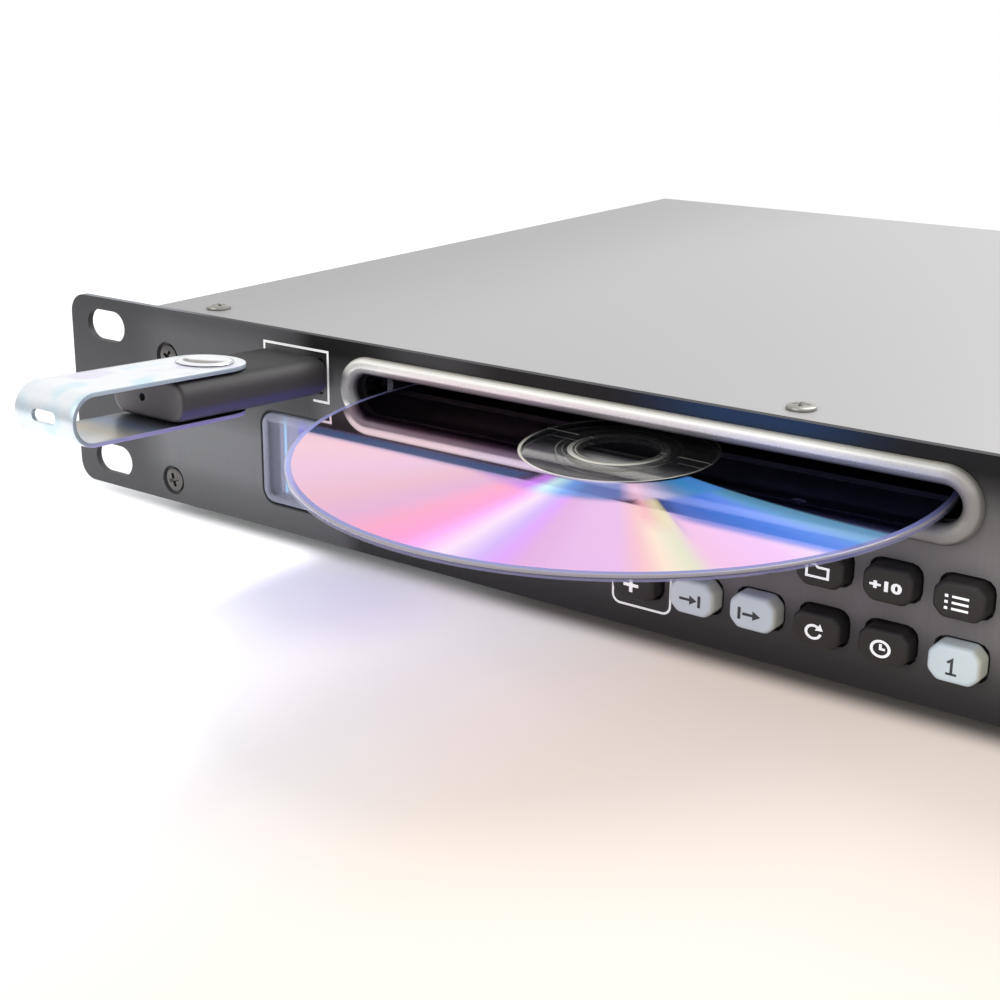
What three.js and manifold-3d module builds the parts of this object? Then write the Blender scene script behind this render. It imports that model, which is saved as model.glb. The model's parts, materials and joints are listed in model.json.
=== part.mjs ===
// A slot-loading disc player one rack unit high, with a disc half out of its slot
// and a memory stick in its port. Millimetres. X runs along the front panel to the
// right, Y goes back into the case and Z is up. The origin is the centre of the
// front panel's face.
import * as THREE from 'three';
import { mergeVertices } from 'three/addons/utils/BufferGeometryUtils.js';
import Module from 'manifold-3d';

const wasm = await Module();
wasm.setup();

// Clearances
const seatGap = 0.1; // between flat faces that are fastened or glued together
const runGap = 0.3; // between pieces that move, or that meet inside the tilted drive
const cutOverrun = 1; // how far every cutting tool reaches past what it cuts
const weldTolerance = 0.001; // points closer than this are one point

const half = (value) => value / 2;

// Front panel, a 19 inch rack plate
const panel = { width: 482.6, height: 44.45, thick: 1.5, corner: 4.5, earSeam: 0.9 };
const earSlot = { length: 12.4, height: 7.1, spacing: 31.75, inset: 11.7 };
const panelScrew = {
  casingInset: 5.9, topZ: 11.35, lowZ: -17.2,
  headRadius: 2.7, headThick: 0.75, shankRadius: 1.25, length: 7, recess: 0.2, recessRadius: 3.4,
};

// Case: a folded tray with the front and rear walls, under a U-shaped cover
const casing = {
  inset: 25.7, rearY: 222, belowPanelTop: 0.52, abovePanelFoot: 1.3,
  coverSheet: 1, traySheet: 1.2, panelGap: 0.4,
  sideFlange: 12, topFlange: 11, windowEnd: 17, windowEdge: 1.3,
};
const coverScrew = {
  outerInset: 13.2, innerX: 60.9, y: 9.4,
  headRadius: 2.7, headThick: 0.8, crownShare: 0.6, shankRadius: 1.4, length: 4,
};
const foot = {
  inset: 30.6, frontY: 32, rearY: 190, topRadius: 9.5, baseRadius: 8.5, height: 5, recessRadius: 4, recess: 3,
};

// Disc slot with its cast trim
const slot = { inset: 124.8, z: 12.95, height: 6.4 };
const bezel = {
  rim: 3.55, proud: 1.8, edge: 0.55, shoulder: 1.4, shoulderIn: 0.45, crestIn: 1.35,
  innerStep: 0.7, innerStepIn: 0.3, spigotWall: 0.7,
};
const felt = { rim: 2.7, thick: 1 };

// Disc, half out of the slot, and the tilt of the drive that holds it
const disc = { radius: 60, thick: 1.2, holeRadius: 7.5, proudOfPanel: 1.2, aboveLip: 0.65 };
const stackRing = { radius: 17.2, width: 1, height: 0.15 };
const driveTilt = THREE.MathUtils.degToRad(2);
const loadTravel = 78;

// Display
const lens = {
  inset: 34.7, width: 76.9, height: 19.9, z: -6.2, corner: 3, proud: 0.5, lip: 1.4, lipThick: 1,
};
const lcd = { width: 74, height: 19, glassThick: 2.8, boardThick: 1.6, postRadius: 1.6 };

// Left keys: two rows on one pitch, each key with a flange and a plunger behind the panel
const keyGrid = { fromSlot: 5.1, pitch: 12, lowZ: -12.4, rowStep: 10.85 };
const key = {
  width: 8.9, height: 6.5, corner: 1.9, faceWidth: 7.2, faceHeight: 5.1, faceCorner: 1.4,
  proud: 3.5, chamfer: 1, flangeLip: 0.75, flangeThick: 1, plungerRadius: 1.5, plunger: 0.7, travel: 1.2,
};
const keyNames = [
  ['plus_button', 'loop_in_button', 'loop_out_button', 'loop_button', 'time_button', 'single_button'],
  ['minus_button', 'previous_button', 'next_button', 'folder_button', 'plus_ten_button', 'program_button'],
];
const paleKeys = ['loop_in_button', 'loop_out_button', 'single_button'];

// Right controls, which the photograph does not show
const ejectKey = { slotGap: 22.2 };
const bigKey = { width: 17, height: 12.4, corner: 3.2, faceWidth: 15, faceHeight: 10.6, faceCorner: 2.6 };
const playKey = { inset: 94.6, z: 9.4 };
const cueKey = { inset: 94.6, z: -9.4 };
const fader = {
  inset: 155.6, z: 4, slotLength: 62, slotHeight: 2.6, capWidth: 8, capHeight: 15, capDepth: 9, capTop: 5,
  grooveDepth: 0.9, stemWidth: 6, stemThick: 2, bodyWidth: 76, bodyHeight: 7, travel: 25, capGap: 0.5,
};
const knob = {
  inset: 44.6, z: 0, radius: 17.5, topRadius: 16.4, height: 14, edge: 1.2, dimpleRadius: 5.5, dimpleOut: 9.2,
  dimpleDepth: 1.5, shaftRadius: 3, holeGap: 0.6, shaftLength: 7.5, panelGap: 0.8,
};

// Board behind the keys, with a switch behind each
const keyBoard = {
  leftMargin: 7.3, lowZ: -18.6, leftTopZ: 4, slotGap: 13.3, inset: 15.6, topZ: 16.4, thick: 1.6,
  switchSize: 6, switchDepth: 2.5, postRadius: 1.8, postInset: 3.4,
};

// Port for the memory stick
const port = {
  slotGap: 19.8, z: 13.8, holeWidth: 15, holeHeight: 7.6, holeCorner: 0.6, sheet: 0.4,
  width: 12.9, height: 5.6, frontY: 0.4, depth: 14.2, tongueWidth: 10.4, tongueThick: 1.4, tongueLength: 9,
  boardThick: 1.6, boardMargin: 3, postRadius: 1.4,
};

// Memory stick with a swivelling cap
const stick = {
  tilt: THREE.MathUtils.degToRad(3.45), hingeInPort: 6, rootY: -0.8,
  width: 19.4, height: 7.8, endY: -41.4, endRound: 1.1,
  plugWidth: 12, plugHeight: 4.5, plugLength: 11.6, plugWall: 0.4, plugCore: 1.3, travel: 14,
  lanyardRadius: 0.8, lanyardDepth: 5, roundShare: 0.3,
};
const cap = { width: 16, sheet: 0.8, pivotY: -26.2, endY: -65.8, slotWidth: 6.5, slotHeight: 2.4 };
const capPin = { radius: 2, headRadius: 5.7, headThick: 0.7, crownShare: 0.85 };

// Drive, in its own tilted frame: x across, y the way the disc slides, z out of the disc.
// Its origin is under the disc's centre, on the plane of the disc's lower face.
const drive = {
  sideRoom: 4, sheet: 1.5, frontY: 13.5, rearY: 152, wallTop: 2.7, floorZ: -9.8, floorFrontY: 27.5,
};
const driveWindow = { ledge: 5.7, frontY: 63, rearY: 145 };
const drivePost = { inset: 5.5, frontY: 34, rearY: 146, radius: 3.5 };
const driveLid = { thick: 1, lip: 4, holeRadius: 16 };
const roller = { y: 20, radius: 3.5, waist: 0.4, overhang: 2, shaftRadius: 1.5, shaftEnd: 1.6 };
const gear = {
  module: 0.6, teeth: 24, thick: 3, wallGap: 2, play: 0.16, tipShare: 0.8, rootShare: 1.15,
  slope: THREE.MathUtils.degToRad(20),
};
const pinion = { teeth: 10, thick: 3.6 };
const loadMotor = {
  radius: 6, length: 25, bossRadius: 2, bossLength: 1, shaftRadius: 0.75, tabMargin: 1.4, flat: 5,
};
const traverse = { inset: 8.3, frontY: 58, sheet: 1.5, lift: 3, sledSlotX: 20.3, sledSlotFrontY: 94 };
const spindle = {
  y: loadTravel, flangeRadius: 15, flangeThick: 1.5, hubHeight: 1.7, coneHeight: 0.5, coneIn: 1.4,
  bossRadius: 4, shaftRadius: 1, motorRadius: 12, motorHeight: 6, motorBoss: 2.6, plateHole: 3.1,
};
const rod = { x: 24, z: -6.3, radius: 1.5, frontY: 90, rearY: 148.5, clip: 3, clipTop: -3.8, clipHalf: 3.2 };
const sled = {
  frontY: 96, length: 14, topZ: -3.7, lowZ: -9.9, lensY: 103, lensRadius: 3.5, lensTop: -3.45, boss: 2,
};

// Boards and supply behind the controls
const mainBoard = { driveGap: 34.8, supplyGap: 14, y0: 66, y1: 196, lift: 5, thick: 1.6, inset: 5 };
const chip = { size: 18, height: 2.2, canRadius: 5, canHeight: 12 };
const supply = {
  inset: 13.6, width: 76, y0: 60, y1: 196, coreX: 40, coreY: 46, coreZ: 24, coilX: 30, coilY: 58, coilZ: 18,
};
const boardPost = { radius: 2.6 };

// Rear sockets
const inlet = {
  inset: 39.6, z: 0, plateWidth: 52, plateHeight: 26, plateThick: 1.6, plateCorner: 2.5,
  bodyWidth: 46, bodyHeight: 21, bodyDepth: 24,
  socketX: -10, socketWidth: 24, socketHeight: 16.5, socketCorner: 3.5, socketDepth: 17,
  bladeWidth: 2, bladeHeight: 4, bladeLength: 14, bladePitch: 7, bladeRise: 2, rockerX: 13.5,
};
const rocker = {
  width: 12, height: 18, dip: 1.6, depth: 6, rearHeight: 3, pivotIn: 2.4, pinRadius: 1.2, pinLength: 1,
  sideGap: 0.4, swing: THREE.MathUtils.degToRad(14),
};
const jacks = {
  boardInset: 50, z: 0, pitch: 14, count: 4, radius: 4.1, boreRadius: 1.7, proud: 9, holeGap: 0.8,
  bodyDepth: 13, bodyHeight: 15, bodyMargin: 8, rootLength: 2,
};

// Facets
const roundSides = 24;
const discSides = 80;
const knobSides = 48;
const smallSides = 12;
const endSteps = 10; // to the half turn of a long rounded end
const cornerSteps = 3; // to the quarter turn of a small corner
const earSteps = 8; // to the quarter turn of the panel's corners and rack slots

// Finishes
const finish = {
  satinBlack: { color: 0x26272a, roughness: 0.45, metalness: 0.3 },
  coverGrey: { color: 0x3a3b3e, roughness: 0.4, metalness: 0.4 },
  zincSheet: { color: 0x9a9ea3, roughness: 0.4, metalness: 0.8 },
  castSilver: { color: 0xb9babb, roughness: 0.35, metalness: 0.9 },
  darkScrew: { color: 0x4a4b4e, roughness: 0.35, metalness: 0.9 },
  brightScrew: { color: 0xc8c6c0, roughness: 0.3, metalness: 0.95 },
  rubber: { color: 0x1b1b1c, roughness: 0.85, metalness: 0 },
  felt: { color: 0x141416, roughness: 0.95, metalness: 0 },
  mirror: { color: 0xd9cfe2, roughness: 0.08, metalness: 0.9 },
  clear: { color: 0xbfc6ee, roughness: 0.08, metalness: 0, transparent: true, opacity: 0.45 },
  display: { color: 0x7a78d8, roughness: 0.3, metalness: 0 },
  blackKey: { color: 0x2b2829, roughness: 0.5, metalness: 0 },
  paleKey: { color: 0xc9dade, roughness: 0.4, metalness: 0 },
  board: { color: 0x1f5a35, roughness: 0.5, metalness: 0 },
  blackPlastic: { color: 0x222224, roughness: 0.5, metalness: 0 },
  blackSheet: { color: 0x141416, roughness: 0.7, metalness: 0.2 },
  greyPlastic: { color: 0x56585c, roughness: 0.55, metalness: 0 },
  steel: { color: 0xc4c6c9, roughness: 0.25, metalness: 0.95 },
  whiteGear: { color: 0xe2ded2, roughness: 0.5, metalness: 0 },
};

// Shapes in a plane, as (a, b) pairs
function arc(a, b, radius, start, end, steps) {
  return Array.from({ length: steps + 1 }, (_, i) => {
    const angle = start + (end - start) * i / steps;
    return [a + radius * Math.cos(angle), b + radius * Math.sin(angle)];
  });
}

function rectPoints(width, height, radius, a = 0, b = 0, steps = cornerSteps) {
  const [w, h] = [half(width) - radius, half(height) - radius];
  const quarter = Math.PI / 2;
  return [[w, h], [-w, h], [-w, -h], [w, -h]].flatMap(([x, z], i) =>
    arc(a + x, b + z, radius, i * quarter, (i + 1) * quarter, steps));
}

function roundedRect(width, height, radius, a = 0, b = 0, steps = cornerSteps) {
  return polygon(rectPoints(width, height, radius, a, b, steps));
}

function stadium(width, height, a = 0, b = 0, steps = half(endSteps)) {
  return roundedRect(width, height, half(height), a, b, steps);
}

function rect(a0, b0, a1, b1) {
  return new THREE.Shape([
    new THREE.Vector2(a0, b0), new THREE.Vector2(a1, b0),
    new THREE.Vector2(a1, b1), new THREE.Vector2(a0, b1),
  ]);
}

function circle(radius, a = 0, b = 0) {
  return polygon(arc(a, b, radius, 0, Math.PI * 2, smallSides).slice(1));
}

function polygon(points) {
  const apart = points.filter(([a, b], i) => {
    const [c, d] = points[(i + 1) % points.length];
    return Math.hypot(a - c, b - d) > weldTolerance;
  });
  return new THREE.Shape(apart.map(([a, b]) => new THREE.Vector2(a, b)));
}

function pierced(shape, holes) {
  shape.holes.push(...holes);
  return shape;
}

// Prisms: a plane shape pushed from one place to another along an axis
function extrude(shape, depth) {
  return new THREE.ExtrudeGeometry(shape, { depth, bevelEnabled: false });
}

function prismZ(shape, z0, z1) {
  return extrude(shape, z1 - z0).translate(0, 0, z0);
}

function prismY(shape, y0, y1) {
  return extrude(shape, y1 - y0).rotateX(Math.PI / 2).translate(0, y1, 0);
}

function prismX(shape, x0, x1) {
  return extrude(shape, x1 - x0).rotateX(Math.PI / 2).rotateZ(Math.PI / 2).translate(x0, 0, 0);
}

function box(x0, y0, z0, x1, y1, z1) {
  return prismZ(rect(x0, y0, x1, y1), z0, z1);
}

// A block from y0 to y1 with its middle at x, z
function blockY(x, z, width, height, y0, y1) {
  return box(x - half(width), y0, z - half(height), x + half(width), y1, z + half(height));
}

// A block from z0 to z1 with its middle at x, y
function blockZ(x, y, width, depth, z0, z1) {
  return box(x - half(width), y - half(depth), z0, x + half(width), y + half(depth), z1);
}

// Turned solids: a profile of (radius, height) pairs about an axis
function turn(profile, sides = roundSides) {
  const points = profile.map(([r, h]) => new THREE.Vector2(r, h));
  return outward(new THREE.LatheGeometry(points, sides));
}

function turnZ(profile, sides = roundSides) {
  return turn(profile, sides).rotateX(Math.PI / 2);
}

function turnX(profile, sides = roundSides) {
  return turn(profile, sides).rotateZ(-Math.PI / 2);
}

function rodProfile(radius, h0, h1) {
  return [[0, h0], [radius, h0], [radius, h1], [0, h1]];
}

function rodX(radius, x0, x1, y = 0, z = 0, sides = smallSides) {
  return turnX(rodProfile(radius, x0, x1), sides).translate(0, y, z);
}

function rodY(radius, y0, y1, x = 0, z = 0, sides = smallSides) {
  return turn(rodProfile(radius, y0, y1), sides).translate(x, 0, z);
}

function rodZ(radius, z0, z1, x = 0, y = 0, sides = smallSides) {
  return turnZ(rodProfile(radius, z0, z1), sides).translate(x, y, 0);
}

// Skin over rings of points. The rings close on themselves, or the two ends are capped.
function skin(rings, looped) {
  const count = rings[0].length;
  const position = rings.flat().flatMap((p) => [p.x, p.y, p.z]);
  const index = [];
  const last = looped ? rings.length : rings.length - 1;
  for (let i = 0; i < last; i++) {
    const next = (i + 1) % rings.length;
    for (let j = 0; j < count; j++) {
      const k = (j + 1) % count;
      index.push(i * count + j, i * count + k, next * count + k);
      index.push(i * count + j, next * count + k, next * count + j);
    }
  }
  if (!looped) {
    const end = (rings.length - 1) * count;
    for (let j = 1; j < count - 1; j++) {
      index.push(0, j + 1, j);
      index.push(end, end + j, end + j + 1);
    }
  }
  const geometry = new THREE.BufferGeometry();
  geometry.setAttribute('position', new THREE.Float32BufferAttribute(position, 3));
  geometry.setIndex(index);
  return outward(geometry);
}

function welded(geometry) {
  const plain = new THREE.BufferGeometry();
  plain.setAttribute('position', geometry.getAttribute('position').clone());
  if (geometry.index) plain.setIndex(geometry.index.clone());
  return mergeVertices(plain, weldTolerance);
}

function outward(geometry) {
  const merged = welded(geometry);
  const p = merged.getAttribute('position');
  const order = Array.from(merged.index.array);
  const [a, b, c] = [new THREE.Vector3(), new THREE.Vector3(), new THREE.Vector3()];
  const kept = [];
  let volume = 0;
  for (let i = 0; i < order.length; i += 3) {
    const corners = order.slice(i, i + 3);
    if (new Set(corners).size < 3) continue;
    kept.push(...corners);
    a.fromBufferAttribute(p, corners[0]);
    b.fromBufferAttribute(p, corners[1]);
    c.fromBufferAttribute(p, corners[2]);
    volume += a.dot(b.cross(c));
  }
  merged.setIndex(volume < 0 ? kept.reverse() : kept);
  return merged;
}

// Booleans
function solid(geometry) {
  const merged = outward(geometry);
  return new wasm.Manifold(new wasm.Mesh({
    numProp: 3,
    vertProperties: Float32Array.from(merged.getAttribute('position').array),
    triVerts: Uint32Array.from(merged.index.array),
  }));
}

function geometryOf(manifold) {
  const { vertProperties, triVerts } = manifold.getMesh();
  const geometry = new THREE.BufferGeometry();
  geometry.setAttribute('position', new THREE.BufferAttribute(vertProperties, 3));
  geometry.setIndex(new THREE.BufferAttribute(triVerts, 1));
  return geometry;
}

function join(...geometries) {
  return geometryOf(geometries.map(solid).reduce((whole, piece) => whole.add(piece)));
}

function cut(geometry, ...tools) {
  return geometryOf(tools.map(solid).reduce((rest, tool) => rest.subtract(tool), solid(geometry)));
}

function common(geometry, other) {
  return geometryOf(solid(geometry).intersect(solid(other)));
}

function mesh(name, geometry, look) {
  geometry.computeVertexNormals();
  const piece = new THREE.Mesh(geometry, new THREE.MeshStandardMaterial(look));
  piece.name = name;
  return piece;
}

const panelBack = panel.thick;
casing.frontY = panelBack + casing.panelGap;
const earSlotX = half(panel.width) - earSlot.inset;

// Places across the case, from its left or right side and from the slot
casing.width = panel.width - 2 * casing.inset;
const caseSide = half(casing.width);
const panelScrewX = caseSide - panelScrew.casingInset;
coverScrew.outerX = caseSide - coverScrew.outerInset;
foot.x = caseSide - foot.inset;
slot.x = slot.inset - caseSide;
slot.straight = 2 * disc.radius;
lens.left = lens.inset - caseSide;
port.x = slot.x - disc.radius - port.slotGap;
keyGrid.firstX = slot.x + keyGrid.fromSlot;
ejectKey.x = slot.x + disc.radius + ejectKey.slotGap;
for (const control of [playKey, cueKey, fader, knob]) control.x = caseSide - control.inset;
keyBoard.left = keyGrid.firstX - keyBoard.leftMargin;
keyBoard.step = slot.x + disc.radius + keyBoard.slotGap;
keyBoard.right = caseSide - keyBoard.inset;
drive.wallInX = disc.radius + drive.sideRoom;
drivePost.x = drive.wallInX - drivePost.inset;
roller.halfLength = disc.radius + roller.overhang;
traverse.x = drive.wallInX - traverse.inset;
driveWindow.x = traverse.x - driveWindow.ledge;
supply.x1 = caseSide - supply.inset;
supply.x0 = supply.x1 - supply.width;
mainBoard.x0 = slot.x + drive.wallInX + mainBoard.driveGap;
mainBoard.x1 = supply.x0 - mainBoard.supplyGap;
inlet.x = caseSide - inlet.inset;
jacks.x = mainBoard.x1 - jacks.boardInset;

const coverTop = half(panel.height) - casing.belowPanelTop;
const coverUnder = coverTop - casing.coverSheet;
const trayBottom = casing.abovePanelFoot - half(panel.height);
const trayFloor = trayBottom + casing.traySheet;
const lensX = lens.left + half(lens.width);
const keyBack = panelBack + runGap + key.flangeThick + key.plunger;
const switchFront = keyBack + key.travel + runGap;
const boardFront = switchFront + keyBoard.switchDepth;
const ejectZ = slot.z;

// Where the fixed holes of the panel are
function panelHoles() {
  const holes = [];
  for (const x of [-earSlotX, earSlotX]) {
    for (const z of [-half(earSlot.spacing), half(earSlot.spacing)]) {
      holes.push(stadium(earSlot.length, earSlot.height, x, z, earSteps));
    }
  }
  const slotRadius = half(slot.height) + bezel.spigotWall + runGap;
  holes.push(stadium(slot.straight + 2 * slotRadius, 2 * slotRadius, slot.x, slot.z));
  holes.push(roundedRect(port.holeWidth, port.holeHeight, port.holeCorner, port.x, port.z));
  holes.push(roomFor(lens, lensX, lens.z));
  for (const { size, x, z } of keyPlaces()) holes.push(roomFor(size, x, z));
  holes.push(stadium(fader.slotLength, fader.slotHeight, fader.x, fader.z));
  holes.push(circle(knob.shaftRadius + knob.holeGap, knob.x, knob.z));
  return holes;
}

function roomFor({ width, height, corner }, x, z) {
  return roundedRect(width + 2 * runGap, height + 2 * runGap, corner + runGap, x, z);
}

function keyPlaces() {
  const places = [];
  keyNames.forEach((row, level) => row.forEach((name, column) => {
    const look = paleKeys.includes(name) ? finish.paleKey : finish.blackKey;
    const [x, z] = [keyGrid.firstX + column * keyGrid.pitch, keyGrid.lowZ + level * keyGrid.rowStep];
    places.push({ name, size: key, x, z, look });
  }));
  places.push({ name: 'eject_button', size: key, x: ejectKey.x, z: ejectZ, look: finish.blackKey });
  places.push({ name: 'play_button', size: bigKey, ...playKey, look: finish.paleKey });
  places.push({ name: 'cue_button', size: bigKey, ...cueKey, look: finish.paleKey });
  return places;
}

function panelScrewPlaces() {
  const places = [];
  for (const [side, x] of [['left', -panelScrewX], ['right', panelScrewX]]) {
    places.push({ name: `panel_screw_${side}_top`, x, z: panelScrew.topZ });
    places.push({ name: `panel_screw_${side}_low`, x, z: panelScrew.lowZ });
  }
  return places;
}

function makePanel() {
  const face = pierced(roundedRect(panel.width, panel.height, panel.corner, 0, 0, earSteps), panelHoles());
  const { recessRadius, recess, headThick, shankRadius } = panelScrew;
  const headSeat = recess + headThick + seatGap;
  const holeRadius = shankRadius + runGap;
  const sinks = panelScrewPlaces().map(({ x, z }) => turn([
    [0, -cutOverrun], [recessRadius, -cutOverrun], [recessRadius, headSeat],
    [holeRadius, headSeat], [holeRadius, panelBack + cutOverrun], [0, panelBack + cutOverrun],
  ]).translate(x, 0, z));
  return mesh('front_panel', join(...inBands(cut(prismY(face, 0, panelBack), ...sinks))), finish.satinBlack);
}

// The plate in upright bands, so that each ear and the bare strip left of the fader have faces of their own
function inBands(plate) {
  const reach = panel.width;
  const ear = caseSide + panel.earSeam;
  const stripLeft = ejectKey.x + half(key.width) + 2 * runGap;
  const stripRight = fader.x - half(fader.slotLength) - 2 * runGap;
  const seams = [-reach, -ear, stripLeft, stripRight, ear, reach];
  return seams.slice(1).map((x, i) => common(plate, box(seams[i], -reach, -reach, x, reach, reach)));
}

function makePanelScrews() {
  const { headRadius, headThick, shankRadius, length, recess } = panelScrew;
  const rise = half(recess);
  const seat = recess + headThick;
  const profile = [
    [0, recess - rise], [half(headRadius), recess - half(rise)], [headRadius, recess + rise],
    [headRadius, seat], [shankRadius, seat], [shankRadius, length], [0, length],
  ];
  return panelScrewPlaces().map(({ name, x, z }) =>
    mesh(name, turn(profile).translate(x, 0, z), finish.darkScrew));
}

// Case
function makeCover() {
  const [x, sheet] = [half(casing.width), casing.coverSheet];
  const section = polygon([
    [-x, trayBottom], [sheet - x, trayBottom], [sheet - x, coverUnder], [x - sheet, coverUnder],
    [x - sheet, trayBottom], [x, trayBottom], [x, coverTop], [-x, coverTop],
  ]);
  const holes = coverScrewPlaces().map((place) =>
    prismZ(coverScrewHole(place), coverUnder - cutOverrun, coverTop + cutOverrun));
  return mesh('top_cover', cut(prismY(section, casing.frontY, casing.rearY), ...holes), finish.coverGrey);
}

function coverScrewPlaces() {
  const { outerX, innerX } = coverScrew;
  return [
    { name: 'cover_screw_left_outer', x: -outerX }, { name: 'cover_screw_left_inner', x: -innerX },
    { name: 'cover_screw_right_inner', x: innerX }, { name: 'cover_screw_right_outer', x: outerX },
  ];
}

function coverScrewHole({ x }) {
  return circle(coverScrew.shankRadius + runGap, x, coverScrew.y);
}

function makeCoverScrews() {
  const { headRadius, headThick, crownShare, shankRadius, length, y } = coverScrew;
  const base = coverTop + seatGap;
  const crown = base + headThick;
  const profile = [
    [0, crown], [headRadius * crownShare, crown], [headRadius, base + half(headThick)],
    [headRadius, base], [shankRadius, base], [shankRadius, base - length], [0, base - length],
  ];
  return coverScrewPlaces().map(({ name, x }) =>
    mesh(name, turnZ(profile, smallSides).translate(x, y, 0), finish.brightScrew));
}

function boardPosts(area) {
  const places = [];
  for (const x of [area.x0 + mainBoard.inset, area.x1 - mainBoard.inset]) {
    for (const y of [area.y0 + mainBoard.inset, area.y1 - mainBoard.inset]) {
      places.push(rodZ(boardPost.radius, trayBottom, trayFloor + mainBoard.lift, x, y));
    }
  }
  return places;
}

function makeTray() {
  const sheet = casing.traySheet;
  const x = half(casing.width) - casing.coverSheet - runGap;
  const front = panelBack + seatGap;
  const rear = casing.rearY - seatGap;
  const top = coverUnder - runGap;
  const windowX = half(casing.width) - casing.windowEnd;
  const frontWall = pierced(rect(-x, trayBottom, x, top), [
    rect(-windowX, trayFloor + casing.windowEdge, windowX, top - sheet),
    ...panelScrewPlaces().map((place) => circle(panelScrew.shankRadius + runGap, place.x, place.z)),
  ]);
  const [inletX, inletZ] = [half(inlet.bodyWidth) + runGap, half(inlet.bodyHeight) + runGap];
  const inletHole = rect(inlet.x - inletX, inlet.z - inletZ, inlet.x + inletX, inlet.z + inletZ);
  const rearWall = pierced(rect(-x, trayBottom, x, top), [
    inletHole, ...jackPlaces().map((jx) => circle(jacks.radius + jacks.holeGap, jx, jacks.z)),
  ]);
  const screwHoles = coverScrewPlaces().map(coverScrewHole);
  const flange = pierced(rect(-x, front, x, front + casing.topFlange), screwHoles);
  const body = join(
    box(-x, front, trayBottom, x, rear, trayFloor),
    prismY(frontWall, front, front + sheet),
    prismY(rearWall, rear - sheet, rear),
    prismZ(flange, top - sheet, top),
    box(-x, front, trayBottom, sheet - x, rear, trayBottom + casing.sideFlange),
    box(x - sheet, front, trayBottom, x, rear, trayBottom + casing.sideFlange),
    ...boardPosts(mainBoard), ...boardPosts(supply),
  );
  return mesh('chassis_tray', body, finish.zincSheet);
}

function makeFeet() {
  const top = trayBottom - seatGap;
  const low = top - foot.height;
  const profile = [
    [0, top], [foot.topRadius, top], [foot.topRadius, top - half(foot.height)], [foot.baseRadius, low],
    [foot.recessRadius, low], [foot.recessRadius, low + foot.recess], [0, low + foot.recess],
  ];
  const feet = [];
  for (const [side, x] of [['left', -foot.x], ['right', foot.x]]) {
    for (const [end, y] of [['front', foot.frontY], ['rear', foot.rearY]]) {
      feet.push(mesh(`foot_${end}_${side}`, turnZ(profile).translate(x, y, 0), finish.rubber));
    }
  }
  return feet;
}

// Slot trim: a closed section carried round a stadium, given as (distance from the slot's axis, y)
function aroundSlot(section) {
  const rings = [];
  for (const [side, start] of [[1, -Math.PI / 2], [-1, Math.PI / 2]]) {
    for (let i = 0; i <= endSteps; i++) {
      const angle = start + Math.PI * i / endSteps;
      rings.push(section.map(([r, y]) => new THREE.Vector3(
        slot.x + side * half(slot.straight) + r * Math.cos(angle), y, slot.z + r * Math.sin(angle))));
    }
  }
  return skin(rings, true);
}

function makeBezel() {
  const inner = half(slot.height);
  const outer = inner + bezel.rim;
  const section = [
    [outer, -seatGap], [outer, -bezel.edge],
    [outer - bezel.shoulderIn, -bezel.shoulder], [outer - bezel.crestIn, -bezel.proud],
    [inner + bezel.innerStep, -bezel.innerStep], [inner, -bezel.innerStepIn],
    [inner, panelBack], [inner + bezel.spigotWall, panelBack], [inner + bezel.spigotWall, -seatGap],
  ];
  return mesh('slot_bezel', aroundSlot(section), finish.castSilver);
}

function makeFelt() {
  const [inner, front] = [half(slot.height), panelBack + seatGap];
  const [outer, back] = [inner + felt.rim, front + felt.thick];
  const section = [[outer, front], [inner, front], [inner, back], [outer, back]];
  return mesh('slot_felt', aroundSlot(section), finish.felt);
}

// Display
function makeLens() {
  const lipFront = panelBack + seatGap;
  const back = lipFront + lens.lipThick;
  const pane = roundedRect(lens.width, lens.height, lens.corner, lensX, lens.z);
  const lip = roundedRect(lens.width + 2 * lens.lip, lens.height + 2 * lens.lip, lens.corner, lensX, lens.z);
  const body = join(prismY(pane, -lens.proud, back), prismY(lip, lipFront, back));
  return mesh('display_window', body, finish.clear);
}

function makeLcd() {
  const front = panelBack + 2 * seatGap + lens.lipThick;
  const glassBack = front + lcd.glassThick;
  const boardBack = glassBack + lcd.boardThick;
  const postX = half(lens.width) + lens.lip + runGap + lcd.postRadius;
  const boardWidth = 2 * (postX + lcd.postRadius);
  const posts = [-postX, postX].map((x) =>
    rodY(lcd.postRadius, panelBack + seatGap, boardBack, lensX + x, lens.z));
  const body = join(
    blockY(lensX, lens.z, lcd.width, lcd.height, front, glassBack),
    blockY(lensX, lens.z, boardWidth, lens.height, glassBack, boardBack),
    ...posts,
  );
  return mesh('lcd_module', body, finish.display);
}

// Keys
function rectRing(width, height, radius, y, x, z, steps = cornerSteps) {
  return rectPoints(width, height, radius, x, z, steps).map(([a, b]) => new THREE.Vector3(a, y, b));
}

function makeKeys() {
  return keyPlaces().map(({ name, size, x, z, look }) => {
    const flangeFront = panelBack + runGap;
    const flangeBack = flangeFront + key.flangeThick;
    const lip = key.flangeLip + runGap;
    const wide = [size.width + 2 * lip, size.height + 2 * lip, size.corner];
    const rings = [
      rectRing(size.faceWidth, size.faceHeight, size.faceCorner, -key.proud, x, z),
      rectRing(size.width, size.height, size.corner, key.chamfer - key.proud, x, z),
      rectRing(size.width, size.height, size.corner, flangeFront, x, z),
      rectRing(...wide, flangeFront, x, z),
      rectRing(...wide, flangeBack, x, z),
    ];
    const plunger = rodY(key.plungerRadius, flangeFront, keyBack, x, z);
    return mesh(name, join(skin(rings, false), plunger), look);
  });
}

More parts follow.
